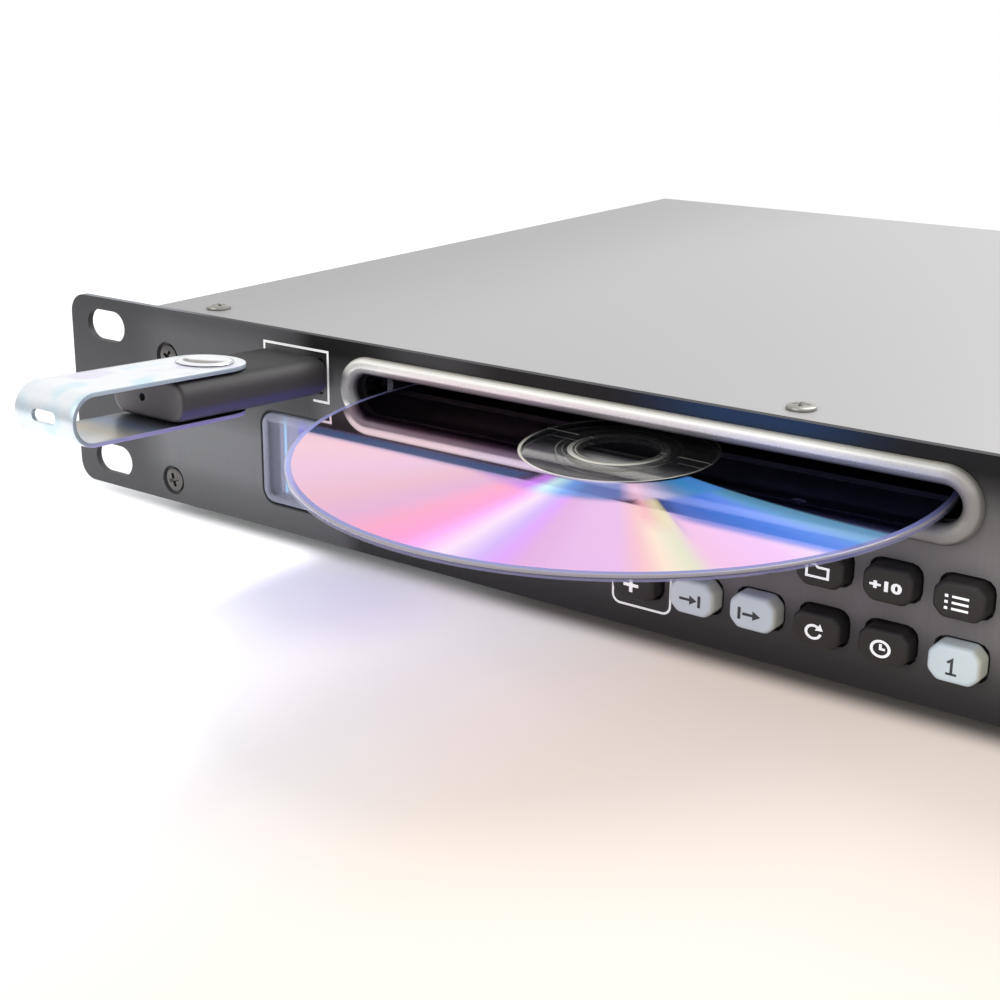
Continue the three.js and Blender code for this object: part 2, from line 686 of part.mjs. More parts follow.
function makeKeyBoard() {
  const back = boardFront + keyBoard.thick;
  const outline = polygon([
    [keyBoard.left, keyBoard.lowZ], [keyBoard.right, keyBoard.lowZ], [keyBoard.right, keyBoard.topZ],
    [keyBoard.step, keyBoard.topZ], [keyBoard.step, keyBoard.leftTopZ], [keyBoard.left, keyBoard.leftTopZ],
  ]);
  const { switchSize, postRadius, postInset } = keyBoard;
  const switches = keyPlaces().map(({ x, z }) => blockY(x, z, switchSize, switchSize, switchFront, back));
  const track = blockY(fader.x, fader.z, fader.bodyWidth, fader.bodyHeight, switchFront, back);
  const encoder = blockY(knob.x, knob.z, 2 * switchSize, 2 * switchSize, knobShaftEnd + runGap, back);
  const [lowPost, topPost] = [keyBoard.lowZ + postInset, keyBoard.topZ - postInset];
  const middlePost = half(keyBoard.step + keyBoard.right);
  const postPlaces = [
    [keyBoard.step + postInset, lowPost], [middlePost, lowPost], [keyBoard.right - postInset, lowPost],
    [middlePost, topPost], [keyBoard.right - postInset, topPost],
  ];
  const posts = postPlaces.map(([x, z]) => rodY(postRadius, panelBack + seatGap, back, x, z));
  const board = join(prismY(outline, boardFront, back), ...switches, track, encoder, ...posts);
  return mesh('control_board', board, finish.board);
}

const knobShaftEnd = knob.shaftLength - knob.panelGap;

function makeFader() {
  const front = -fader.capDepth - fader.capGap;
  const back = -fader.capGap;
  const [top, base, reach] = [half(fader.capTop), half(fader.capWidth), half(fader.capHeight)];
  const section = polygon([
    [-base, back], [-top, front], [-half(top), front], [0, front + fader.grooveDepth], [half(top), front],
    [top, front], [base, back],
  ]);
  const grip = prismZ(section, -reach, reach);
  const stem = blockY(0, 0, fader.stemWidth, fader.stemThick, back - fader.grooveDepth, switchFront - runGap);
  return mesh('pitch_fader', join(grip, stem).translate(fader.x, 0, fader.z), finish.blackPlastic);
}

function makeKnob() {
  const { radius, topRadius, height, edge, panelGap, shaftRadius } = knob;
  const { dimpleOut, dimpleRadius, dimpleDepth } = knob;
  const front = -height - panelGap;
  const profile = [
    [0, front], [topRadius - edge, front], [topRadius, front + edge],
    [radius, -panelGap - edge], [radius, -panelGap],
    [shaftRadius, -panelGap], [shaftRadius, knobShaftEnd], [0, knobShaftEnd],
  ];
  const ball = (dimpleRadius ** 2 + dimpleDepth ** 2) / (2 * dimpleDepth);
  const dimple = outward(new THREE.SphereGeometry(ball, roundSides, smallSides));
  dimple.translate(0, front + dimpleDepth - ball, dimpleOut);
  const body = cut(turn(profile, knobSides), dimple);
  return mesh('jog_knob', body.translate(knob.x, 0, knob.z), finish.greyPlastic);
}

// Port and memory stick
function makePort() {
  const [w, h] = [half(port.width), half(port.height)];
  const outerW = w + port.sheet;
  const outerH = h + port.sheet;
  const back = port.frontY + port.depth;
  const shell = box(-outerW, port.frontY, -outerH, outerW, back, outerH);
  const hollow = box(-w, port.frontY - cutOverrun, -h, w, back - port.sheet, h);
  const tongueLow = stick.plugWall + stick.plugCore - half(stick.plugHeight) + runGap;
  const tongue = box(-half(port.tongueWidth), back - port.tongueLength - port.sheet, tongueLow,
    half(port.tongueWidth), back, tongueLow + port.tongueThick);
  const boardX = outerW + port.boardMargin;
  const board = box(-boardX, panelBack + casing.traySheet + runGap, -outerH - port.boardThick,
    boardX, back + port.boardMargin, -outerH);
  const [postX, postZ] = [boardX - port.postRadius, -outerH - half(port.boardThick)];
  const posts = [-postX, postX].map((x) => rodY(port.postRadius, panelBack + seatGap, back, x, postZ));
  const whole = join(cut(shell, hollow), tongue, board, ...posts);
  return mesh('usb_socket', whole.translate(port.x, 0, port.z), finish.steel);
}

function stickPlug() {
  const [w, h] = [half(stick.plugWidth), half(stick.plugHeight)];
  const end = stick.rootY + stick.plugLength + half(stick.endRound);
  const start = stick.rootY - stick.endRound;
  const shell = box(-w, start, -h, w, end, h);
  const room = box(stick.plugWall - w, stick.rootY + stick.plugWall, stick.plugWall + stick.plugCore - h,
    w - stick.plugWall, end + cutOverrun, h - stick.plugWall);
  return cut(shell, room);
}

function bodyRing(y, inset) {
  const radius = half(stick.height) - inset;
  return rectRing(stick.width - 2 * inset, stick.height - 2 * inset, radius - seatGap, 0, 0, 0)
    .map((p) => new THREE.Vector3(p.x, y, p.z));
}

function makeStickBody() {
  const { endY, rootY, endRound, roundShare, plugWidth, plugHeight, lanyardRadius, lanyardDepth } = stick;
  const eased = endRound * roundShare;
  const rings = [
    bodyRing(endY, endRound), bodyRing(endY + eased, eased), bodyRing(endY + endRound, 0),
    bodyRing(rootY - endRound, 0), bodyRing(rootY - eased, eased), bodyRing(rootY, endRound),
  ];
  const plugHole = blockY(0, 0, plugWidth + 2 * seatGap, plugHeight + 2 * seatGap,
    rootY - endRound - seatGap, rootY + cutOverrun);
  const lanyard = rodY(lanyardRadius, endY - cutOverrun, endY + lanyardDepth);
  return mesh('stick_body', cut(skin(rings, false), plugHole, pinHole(), lanyard), finish.blackPlastic);
}

function pinHole() {
  return rodZ(capPin.radius + runGap, -stick.height, stick.height, 0, cap.pivotY);
}

const capInside = half(stick.height) + runGap;
const capOutside = capInside + cap.sheet;

function makeCap() {
  const bendY = cap.endY + capOutside;
  const tipY = cap.pivotY + half(cap.width);
  const quarter = Math.PI / 2;
  const section = polygon([
    [tipY, -capInside], ...arc(bendY, 0, capInside, -quarter, -3 * quarter, endSteps), [tipY, capInside],
    [tipY, capOutside], ...arc(bendY, 0, capOutside, quarter, 3 * quarter, endSteps), [tipY, -capOutside],
  ]);
  const strip = prismX(section, -half(cap.width), half(cap.width));
  const plan = polygon([
    [-half(cap.width), cap.endY - cutOverrun], [half(cap.width), cap.endY - cutOverrun],
    ...arc(0, cap.pivotY, half(cap.width), 0, Math.PI, endSteps),
  ]);
  const trimmed = common(strip, prismZ(plan, -stick.height, stick.height));
  const lanyard = prismY(stadium(cap.slotWidth, cap.slotHeight), cap.endY - cutOverrun, bendY);
  return mesh('stick_cap', cut(trimmed, pinHole(), lanyard), finish.steel);
}

function makeCapPin() {
  const { radius, headRadius, headThick, crownShare } = capPin;
  const seat = capOutside + half(runGap);
  const top = seat + headThick;
  const profile = [
    [0, -top], [headRadius * crownShare, -top], [headRadius, -seat], [radius, -seat],
    [radius, seat], [headRadius, seat], [headRadius * crownShare, top], [0, top],
  ];
  return mesh('stick_cap_pin', turnZ(profile).translate(0, cap.pivotY, 0), finish.steel);
}

function makeStick() {
  const turned = new THREE.Group();
  turned.position.set(port.x, stick.hingeInPort, port.z);
  turned.rotation.x = -stick.tilt;
  const inner = new THREE.Group();
  inner.position.y = -stick.hingeInPort;
  inner.add(makeStickBody(), mesh('stick_plug', stickPlug(), finish.steel), makeCap(), makeCapPin());
  turned.add(inner);
  return turned;
}

// Disc
function makeDisc() {
  const { radius, thick, holeRadius } = disc;
  const [ringIn, ringOut] = [stackRing.radius, stackRing.radius + stackRing.width];
  const profile = [
    [holeRadius, 0], [ringIn, 0], [ringIn, -stackRing.height], [ringOut, -stackRing.height], [ringOut, 0],
    [radius, 0], [radius, thick], [holeRadius, thick], [holeRadius, 0],
  ];
  return mesh('disc', turnZ(profile, discSides), finish.mirror);
}

// Drive
const lidUnder = drive.wallTop + runGap;
const floorUnder = drive.floorZ - drive.sheet;
const wallOutX = drive.wallInX + drive.sheet;
const rollerZ = -roller.radius - runGap;
const gearRadius = half(gear.module * gear.teeth);
const pinionRadius = half(gear.module * pinion.teeth);
const motorZ = rollerZ - gearRadius - pinionRadius;
const tabLow = motorZ - loadMotor.radius - loadMotor.tabMargin;
const discLowZ = slot.z - half(slot.height) + disc.aboveLip;

function driveWall(x0, x1, withTab) {
  const { frontY, rearY, wallTop, floorFrontY } = drive;
  const low = withTab ? tabLow : floorUnder;
  const outline = polygon([
    [frontY, low], [floorFrontY, low], [floorFrontY, floorUnder],
    [rearY, floorUnder], [rearY, wallTop], [frontY, wallTop],
  ].filter(([y, z], i, all) => i === 0 || y !== all[i - 1][0] || z !== all[i - 1][1]));
  const holes = [circle(roller.shaftRadius + runGap, roller.y, rollerZ)];
  if (withTab) holes.push(circle(loadMotor.bossRadius + runGap, roller.y, motorZ));
  return prismX(pierced(outline, holes), x0, x1);
}

function postFoot(y) {
  const ground = trayFloor + runGap - discLowZ;
  const [rise, run] = [Math.sin(driveTilt), Math.cos(driveTilt)];
  return (ground - (y - drivePost.radius) * rise) / run + drivePost.radius * rise;
}

function makeDriveFrame() {
  const window = rect(-driveWindow.x, driveWindow.frontY, driveWindow.x, driveWindow.rearY);
  const floor = pierced(rect(-wallOutX, drive.floorFrontY, wallOutX, drive.rearY), [window]);
  const posts = [];
  for (const x of [-drivePost.x, drivePost.x]) {
    for (const y of [drivePost.frontY, drivePost.rearY]) {
      posts.push(rodZ(drivePost.radius, postFoot(y), drive.floorZ, x, y));
    }
  }
  const body = join(
    prismZ(floor, floorUnder, drive.floorZ),
    driveWall(-wallOutX, -drive.wallInX, false), driveWall(drive.wallInX, wallOutX, true),
    box(-wallOutX, drive.rearY - drive.sheet, floorUnder, wallOutX, drive.rearY, drive.wallTop), ...posts,
  );
  return mesh('drive_frame', body, finish.zincSheet);
}

function makeDriveLid() {
  const lipIn = wallOutX + runGap;
  const lipOut = lipIn + driveLid.thick;
  const top = lidUnder + driveLid.thick;
  const low = top - driveLid.lip;
  const section = polygon([
    [-lipOut, low], [-lipIn, low], [-lipIn, lidUnder], [lipIn, lidUnder],
    [lipIn, low], [lipOut, low], [lipOut, top], [-lipOut, top],
  ]);
  const hole = rodZ(driveLid.holeRadius, lidUnder - cutOverrun, top + cutOverrun, 0, spindle.y, roundSides);
  return mesh('drive_lid', cut(prismY(section, drive.frontY, drive.rearY), hole), finish.blackSheet);
}

const gearStart = wallOutX + gear.wallGap;

function makeRoller() {
  const { radius, waist, halfLength, shaftRadius, shaftEnd } = roller;
  const [left, right] = [-wallOutX - shaftEnd, gearStart + gear.thick + shaftEnd];
  const profile = [
    [0, left], [shaftRadius, left], [shaftRadius, -halfLength], [radius, -halfLength],
    [radius - waist, 0], [radius, halfLength], [shaftRadius, halfLength],
    [shaftRadius, right], [0, right],
  ];
  return mesh('loading_roller', turnX(profile).translate(0, roller.y, rollerZ), finish.rubber);
}

// A gear's teeth are trapeziums, a little narrower than their gaps
function gearShape(teeth, boreRadius, phase) {
  const pitchRadius = half(gear.module * teeth);
  const tip = pitchRadius + gear.tipShare * gear.module;
  const root = pitchRadius - gear.rootShare * gear.module;
  const halfPitch = Math.PI / (2 * teeth) - gear.play / pitchRadius;
  const lean = Math.tan(gear.slope) * gear.module / pitchRadius;
  const corners = [
    [root, -halfPitch - lean], [tip, gear.tipShare * lean - halfPitch],
    [tip, halfPitch - gear.tipShare * lean], [root, halfPitch + lean],
  ];
  const points = [];
  for (let i = 0; i < teeth; i++) {
    const middle = phase + i * 2 * Math.PI / teeth;
    for (const [r, turned] of corners) {
      points.push([r * Math.cos(middle + turned), r * Math.sin(middle + turned)]);
    }
  }
  return pierced(polygon(points), [circle(boreRadius)]);
}

function makeGears() {
  // The roller's gear has a tooth pointing down at the pinion, which has a gap there.
  const wheelShape = gearShape(gear.teeth, roller.shaftRadius + runGap, -Math.PI / 2);
  const gapUp = Math.PI / 2 + Math.PI / pinion.teeth;
  const pinionShape = gearShape(pinion.teeth, loadMotor.shaftRadius + runGap, gapUp);
  const wheel = prismX(wheelShape, gearStart, gearStart + gear.thick);
  const small = prismX(pinionShape, gearStart, gearStart + pinion.thick);
  return [
    mesh('roller_gear', wheel.translate(0, roller.y, rollerZ), finish.whiteGear),
    mesh('motor_pinion', small.translate(0, roller.y, motorZ), finish.whiteGear),
  ];
}

function makeLoadMotor() {
  const face = drive.wallInX - runGap;
  const can = common(
    rodX(loadMotor.radius, face - loadMotor.length, face, 0, 0, roundSides),
    box(0, -loadMotor.radius, -loadMotor.flat, drive.wallInX, loadMotor.radius, loadMotor.flat));
  const boss = rodX(loadMotor.bossRadius, face - loadMotor.bossLength, face + loadMotor.bossLength);
  const shaft = rodX(loadMotor.shaftRadius, face, gearStart + pinion.thick);
  return mesh('load_motor', join(can, boss, shaft).translate(0, roller.y, motorZ), finish.steel);
}

const plateLow = drive.floorZ + runGap;
const plateTop = plateLow + traverse.sheet;
const flangeTop = -runGap - traverse.lift;

function makeTraverse() {
  const rear = drive.rearY - drive.sheet - runGap;
  const sledSlot = rect(
    -traverse.sledSlotX, traverse.sledSlotFrontY, traverse.sledSlotX, rear - runGap - 2 * rod.clip);
  const plate = pierced(rect(-traverse.x, traverse.frontY, traverse.x, rear), [
    circle(spindle.plateHole, 0, spindle.y), sledSlot,
  ]);
  const clipLow = plateTop - half(traverse.sheet);
  const clips = [];
  for (const x of [-rod.x, rod.x]) {
    const block = rect(x - rod.clipHalf, clipLow, x + rod.clipHalf, rod.clipTop);
    const section = pierced(block, [circle(rod.radius + runGap, x, rod.z)]);
    for (const y of [rod.frontY, rod.rearY - rod.clip]) clips.push(prismY(section, y, y + rod.clip));
  }
  return mesh('traverse_frame', join(prismZ(plate, plateLow, plateTop), ...clips), finish.zincSheet);
}

function makeRods() {
  const bar = (name, x) => mesh(name, rodY(rod.radius, rod.frontY, rod.rearY, x, rod.z), finish.steel);
  return [bar('sled_rod_left', -rod.x), bar('sled_rod_right', rod.x)];
}

function makeSpindleMotor() {
  const { motorRadius, motorHeight, motorBoss, shaftRadius } = spindle;
  const top = plateLow - runGap;
  const bossTop = plateTop - runGap;
  const shaftTop = flangeTop - 2 * runGap;
  const profile = [
    [0, top - motorHeight], [motorRadius, top - motorHeight], [motorRadius, top], [motorBoss, top],
    [motorBoss, bossTop], [shaftRadius, bossTop], [shaftRadius, shaftTop], [0, shaftTop],
  ];
  return mesh('spindle_motor', turnZ(profile).translate(0, spindle.y, 0), finish.steel);
}

function makeTurntable() {
  const boreTop = flangeTop - runGap;
  const bossLow = plateTop + runGap;
  const bore = spindle.shaftRadius + runGap;
  const hub = disc.holeRadius - runGap;
  const hubTop = flangeTop + spindle.hubHeight;
  const flangeLow = flangeTop - spindle.flangeThick;
  const profile = [
    [0, boreTop], [bore, boreTop], [bore, bossLow], [spindle.bossRadius, bossLow],
    [spindle.bossRadius, flangeLow], [spindle.flangeRadius, flangeLow], [spindle.flangeRadius, flangeTop],
    [hub, flangeTop], [hub, hubTop],
    [hub - spindle.coneIn, hubTop + spindle.coneHeight], [0, hubTop + spindle.coneHeight],
  ];
  return mesh('turntable', turnZ(profile).translate(0, spindle.y, 0), finish.blackPlastic);
}

function makeSled() {
  const rear = sled.frontY + sled.length;
  const inner = traverse.sledSlotX - runGap;
  const reach = rod.x + rod.radius + runGap + sled.boss;
  const block = join(
    box(-inner, sled.frontY, sled.lowZ, inner, rear, sled.topZ),
    box(-reach, sled.frontY, plateTop + runGap, reach, rear, sled.topZ),
    rodZ(sled.lensRadius, sled.topZ, sled.lensTop, 0, sled.lensY),
  );
  const bores = [-rod.x, rod.x].map((x) =>
    rodY(rod.radius + runGap, sled.frontY - cutOverrun, rear + cutOverrun, x, rod.z));
  return mesh('laser_sled', cut(block, ...bores), finish.greyPlastic);
}

function makeDrive() {
  const group = new THREE.Group();
  group.position.set(slot.x, -disc.proudOfPanel, discLowZ);
  group.rotation.x = driveTilt;
  group.add(
    makeDisc(), makeDriveFrame(), makeDriveLid(), makeRoller(), ...makeGears(), makeLoadMotor(),
    makeTraverse(), ...makeRods(), makeSpindleMotor(), makeTurntable(), makeSled());
  return group;
}

// Boards and sockets
function makeMainBoard() {
  const low = trayFloor + mainBoard.lift + seatGap;
  const top = low + mainBoard.thick;
  const [midX, midY] = [half(mainBoard.x0 + mainBoard.x1), half(mainBoard.y0 + mainBoard.y1)];
  const can = (y) =>
    rodZ(chip.canRadius, low + half(mainBoard.thick), top + chip.canHeight, midX + chip.size, y);
  const body = join(
    box(mainBoard.x0, mainBoard.y0, low, mainBoard.x1, mainBoard.y1, top),
    box(midX - chip.size, midY - chip.size, low, midX, midY, top + chip.height),
    can(midY), can(midY + 2 * chip.size),
  );
  return mesh('main_board', body, finish.board);
}

function makeSupply() {
  const low = trayFloor + mainBoard.lift + seatGap;
  const top = low + mainBoard.thick;
  const [midX, midY] = [half(supply.x0 + supply.x1), supply.y0 + supply.coilY];
  const body = join(
    box(supply.x0, supply.y0, low, supply.x1, supply.y1, top),
    blockZ(midX, midY, supply.coreX, supply.coreY, low, top + supply.coreZ),
    blockZ(midX, midY, supply.coilX, supply.coilY, low, top + supply.coilZ),
  );
  return mesh('power_supply', body, finish.board);
}

const wallBack = casing.rearY - seatGap;

function makeInlet() {
  const plateFront = wallBack + seatGap;
  const face = plateFront + inlet.plateThick;
  const front = wallBack - inlet.bodyDepth;
  const plate = prismY(roundedRect(inlet.plateWidth, inlet.plateHeight, inlet.plateCorner), plateFront, face);
  const body = blockY(0, 0, inlet.bodyWidth, inlet.bodyHeight, front, face);
  const socket = prismY(
    roundedRect(inlet.socketWidth, inlet.socketHeight, inlet.socketCorner, inlet.socketX, 0),
    face - inlet.socketDepth, face + cutOverrun);
  const pocketWidth = rocker.width + 2 * rocker.sideGap;
  const pocketHeight = rocker.height + 2 * rocker.sideGap;
  const pocket = blockY(
    inlet.rockerX, 0, pocketWidth, pocketHeight, face - 2 * rocker.depth, face + cutOverrun);
  const pinReach = half(rocker.width) + rocker.pinLength + runGap;
  const pinBore = rodX(rocker.pinRadius + runGap, -pinReach, pinReach, face - rocker.pivotIn);
  pinBore.translate(inlet.rockerX, 0, 0);
  const root = face - inlet.socketDepth;
  const { bladePitch, bladeRise, bladeWidth, bladeHeight, bladeLength } = inlet;
  const blades = [[-bladePitch, -bladeRise], [0, bladeRise], [bladePitch, -bladeRise]].map(([x, z]) =>
    blockY(inlet.socketX + x, z, bladeWidth, bladeHeight, root - half(bladeWidth), root + bladeLength));
  const whole = join(cut(join(plate, body), socket, pocket, pinBore), ...blades);
  return mesh('mains_inlet', whole.translate(inlet.x, 0, inlet.z), finish.blackPlastic);
}

function makeRocker() {
  const face = wallBack + seatGap + inlet.plateThick;
  const { width, height, dip, depth, rearHeight, pivotIn, pinRadius, pinLength, swing } = rocker;
  const section = polygon([
    [pivotIn + dip, -half(height)], [pivotIn, 0], [pivotIn + dip, half(height)],
    [pivotIn - depth, half(rearHeight)], [pivotIn - depth, -half(rearHeight)],
  ]);
  const block = join(
    prismX(section, -half(width), half(width)),
    rodX(pinRadius, -half(width) - pinLength, half(width) + pinLength));
  block.rotateX(-half(swing)).translate(inlet.x + inlet.rockerX, face - pivotIn, inlet.z);
  return mesh('power_rocker', block, finish.blackPlastic);
}

function jackPlaces() {
  return Array.from({ length: jacks.count }, (_, i) => jacks.x + (i - half(jacks.count - 1)) * jacks.pitch);
}

function makeJacks() {
  const inside = wallBack - casing.traySheet - seatGap;
  const width = (jacks.count - 1) * jacks.pitch + 2 * jacks.bodyMargin;
  const end = wallBack + jacks.proud;
  const root = inside - jacks.rootLength;
  const barrels = jackPlaces().map((x) => rodY(jacks.radius, root, end, x, jacks.z, roundSides));
  const bores = jackPlaces().map((x) => rodY(jacks.boreRadius, wallBack, end + cutOverrun, x, jacks.z));
  const block = blockY(jacks.x, jacks.z, width, jacks.bodyHeight, inside - jacks.bodyDepth, inside);
  return mesh('audio_jacks', cut(join(block, ...barrels), ...bores), finish.blackPlastic);
}

const player = new THREE.Group();
player.add(
  makePanel(), ...makePanelScrews(), makeCover(), ...makeCoverScrews(), makeTray(), ...makeFeet(),
  makeBezel(), makeFelt(), makeLens(), makeLcd(), ...makeKeys(), makeKeyBoard(), makeFader(), makeKnob(),
  makePort(), makeStick(), makeDrive(), makeMainBoard(), makeSupply(),
  makeInlet(), makeRocker(), makeJacks());

export default player;
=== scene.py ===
"""Dresses a packed slot-loading disc player: its paint, keys, lens, disc, memory stick and controls."""
import json
import math

import bmesh
import bpy
from bpy.props import FloatProperty, FloatVectorProperty, IntProperty, PointerProperty
from mathutils import Matrix, Vector


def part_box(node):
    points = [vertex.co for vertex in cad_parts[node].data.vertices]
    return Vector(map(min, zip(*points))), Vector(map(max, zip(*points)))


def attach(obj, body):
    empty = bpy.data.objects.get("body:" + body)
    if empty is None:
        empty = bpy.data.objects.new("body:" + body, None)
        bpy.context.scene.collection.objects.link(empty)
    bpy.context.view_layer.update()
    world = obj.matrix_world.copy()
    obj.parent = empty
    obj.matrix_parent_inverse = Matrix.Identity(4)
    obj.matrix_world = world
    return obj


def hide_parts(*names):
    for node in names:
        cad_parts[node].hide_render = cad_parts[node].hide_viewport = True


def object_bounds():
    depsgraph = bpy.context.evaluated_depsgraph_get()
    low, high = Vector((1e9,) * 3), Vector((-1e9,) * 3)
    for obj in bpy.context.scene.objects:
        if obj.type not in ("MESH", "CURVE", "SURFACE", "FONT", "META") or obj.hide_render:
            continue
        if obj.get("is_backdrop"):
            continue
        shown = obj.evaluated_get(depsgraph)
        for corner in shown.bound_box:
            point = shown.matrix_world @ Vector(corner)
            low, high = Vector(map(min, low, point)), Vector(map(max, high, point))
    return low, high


bl_info = {
    "name": "Slot Disc Player",
    "version": (1, 0, 0),
    "blender": (4, 5, 0),
    "location": "View3D > Sidebar > Disc Player",
    "description": "Dresses a rack disc player with its paints, keys, lens, disc and memory stick",
    "category": "Object",
}

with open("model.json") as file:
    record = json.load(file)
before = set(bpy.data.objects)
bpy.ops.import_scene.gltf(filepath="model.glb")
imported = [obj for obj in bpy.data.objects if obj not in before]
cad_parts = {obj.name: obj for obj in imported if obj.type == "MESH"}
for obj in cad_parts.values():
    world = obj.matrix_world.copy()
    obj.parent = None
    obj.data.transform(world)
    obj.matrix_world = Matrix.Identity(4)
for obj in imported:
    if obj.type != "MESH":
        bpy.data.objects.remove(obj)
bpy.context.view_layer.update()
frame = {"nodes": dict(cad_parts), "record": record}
MM = 0.001
MERGE = 0.002
NODES = frame["nodes"]


def low(node):
    """Lowest corner of a CAD node, in millimetres."""
    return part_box(node)[0] / MM


def high(node):
    """Highest corner of a CAD node, in millimetres."""
    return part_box(node)[1] / MM


def middle(node):
    """Middle of a CAD node, in millimetres."""
    return (low(node) + high(node)) / 2


def span(node):
    """Size of a CAD node along X, Y and Z, in millimetres."""
    return high(node) - low(node)


def micron(place):
    """A place rounded to a thousandth of a millimetre."""
    return Vector([round(c, 3) for c in place])


def srgb(red, green, blue):
    """A colour given in 0 to 255 steps, as linear light."""
    def light(step):
        part = step / 255
        return part / 12.92 if part <= 0.04045 else ((part + 0.055) / 1.055) ** 2.4
    return (light(red), light(green), light(blue), 1.0)


def dimmed(colour, share, lift=0.0):
    """A colour with its light scaled by a share, and raised."""
    return [c * share + lift for c in colour[:3]] + [1.0]


# Settings


class StageSettings(bpy.types.PropertyGroup):
    key_energy: FloatProperty(
        name="Key light", description="Power of the soft light above and behind", default=9.0, unit="POWER")
    fill_energy: FloatProperty(
        name="Fill light", description="Power of the soft light in front", default=3.2, unit="POWER")
    sky_level: FloatProperty(name="Sky", description="Level of the light from all round", default=0.62, min=0)
    floor_gain: FloatProperty(
        name="Floor gain", description="How strongly the lit floor shows", default=1.1, min=0)
    floor_lift: FloatProperty(
        name="Floor lift", description="Light added to the floor in front", default=0.36, min=0)
    lift_band: FloatVectorProperty(
        name="Lift band", description="Y in millimetres where that light starts and is full", size=2,
        default=(6.0, -3.0))
    floor_near: FloatProperty(
        name="Near floor", description="Distance at which the floor starts to fade to white", default=0.26,
        unit="LENGTH")
    floor_far: FloatProperty(
        name="Far floor", description="Distance from which the floor is plain white", default=0.6,
        unit="LENGTH")


class PaintSettings(bpy.types.PropertyGroup):
    panel: FloatVectorProperty(
        name="Panel", description="Paint of the front panel", subtype="COLOR", size=4,
        default=srgb(20, 19, 20))
    # Colour of the panel's painted sheen, a painted reflection on its paint
    panel_sheen: FloatVectorProperty(
        name="Panel sheen", description="Lightest tone of the panel's paint", subtype="COLOR", size=4,
        default=srgb(137, 137, 139))
    cover: FloatVectorProperty(
        name="Cover", description="Paint of the top cover", subtype="COLOR", size=4,
        default=srgb(148, 146, 147))
    # Cover colour where its painted reflection is full
    cover_light: FloatVectorProperty(
        name="Lit cover", description="Paint of the top cover away from its left side", subtype="COLOR",
        size=4, default=srgb(171, 169, 169))
    key_black: FloatVectorProperty(
        name="Dark keys", description="Rubber of the dark keys", subtype="COLOR", size=4,
        default=srgb(30, 26, 24))
    key_pale: FloatVectorProperty(
        name="Pale keys", description="Silicone of the pale keys", subtype="COLOR", size=4,
        default=srgb(240, 252, 252))
    legend: FloatVectorProperty(
        name="Print", description="White print on the keys and panel", subtype="COLOR", size=4,
        default=srgb(250, 250, 248))


class TrimSettings(bpy.types.PropertyGroup):
    proud: FloatProperty(
        name="Proud", description="How far the slot trim stands off the panel", default=1.8 * MM,
        unit="LENGTH")
    steps: IntProperty(name="Steps", description="Faces round each end of the slot trim", default=28, min=8)


class KeySettings(bpy.types.PropertyGroup):
    flange: FloatProperty(
        name="Flange", description="How far a key's flange reaches past its sides", default=1.05 * MM,
        unit="LENGTH")


class DiscSettings(bpy.types.PropertyGroup):
    hub: FloatProperty(
        name="Clear hub", description="Radius of the clear middle", default=18.2 * MM, unit="LENGTH")
    rim: FloatProperty(
        name="Clear rim", description="Radius where the clear rim starts", default=58.7 * MM, unit="LENGTH")
    sides: IntProperty(name="Sides", description="Faces round the disc", default=240, min=24)


# Shader wiring


class Wire:
    """One shader socket. Python's arithmetic on it adds Math nodes."""

    def __init__(self, finish, socket):
        self.finish = finish
        self.socket = socket

    def __add__(self, other):
        return self.finish.math("ADD", self, other)

    def __sub__(self, other):
        return self.finish.math("SUBTRACT", self, other)

    def __rsub__(self, other):
        return self.finish.math("SUBTRACT", other, self)

    def __mul__(self, other):
        return self.finish.math("MULTIPLY", self, other)

    def __truediv__(self, other):
        return self.finish.math("DIVIDE", self, other)

    def __abs__(self):
        return self.finish.math("ABSOLUTE", self)

    __radd__ = __add__
    __rmul__ = __mul__


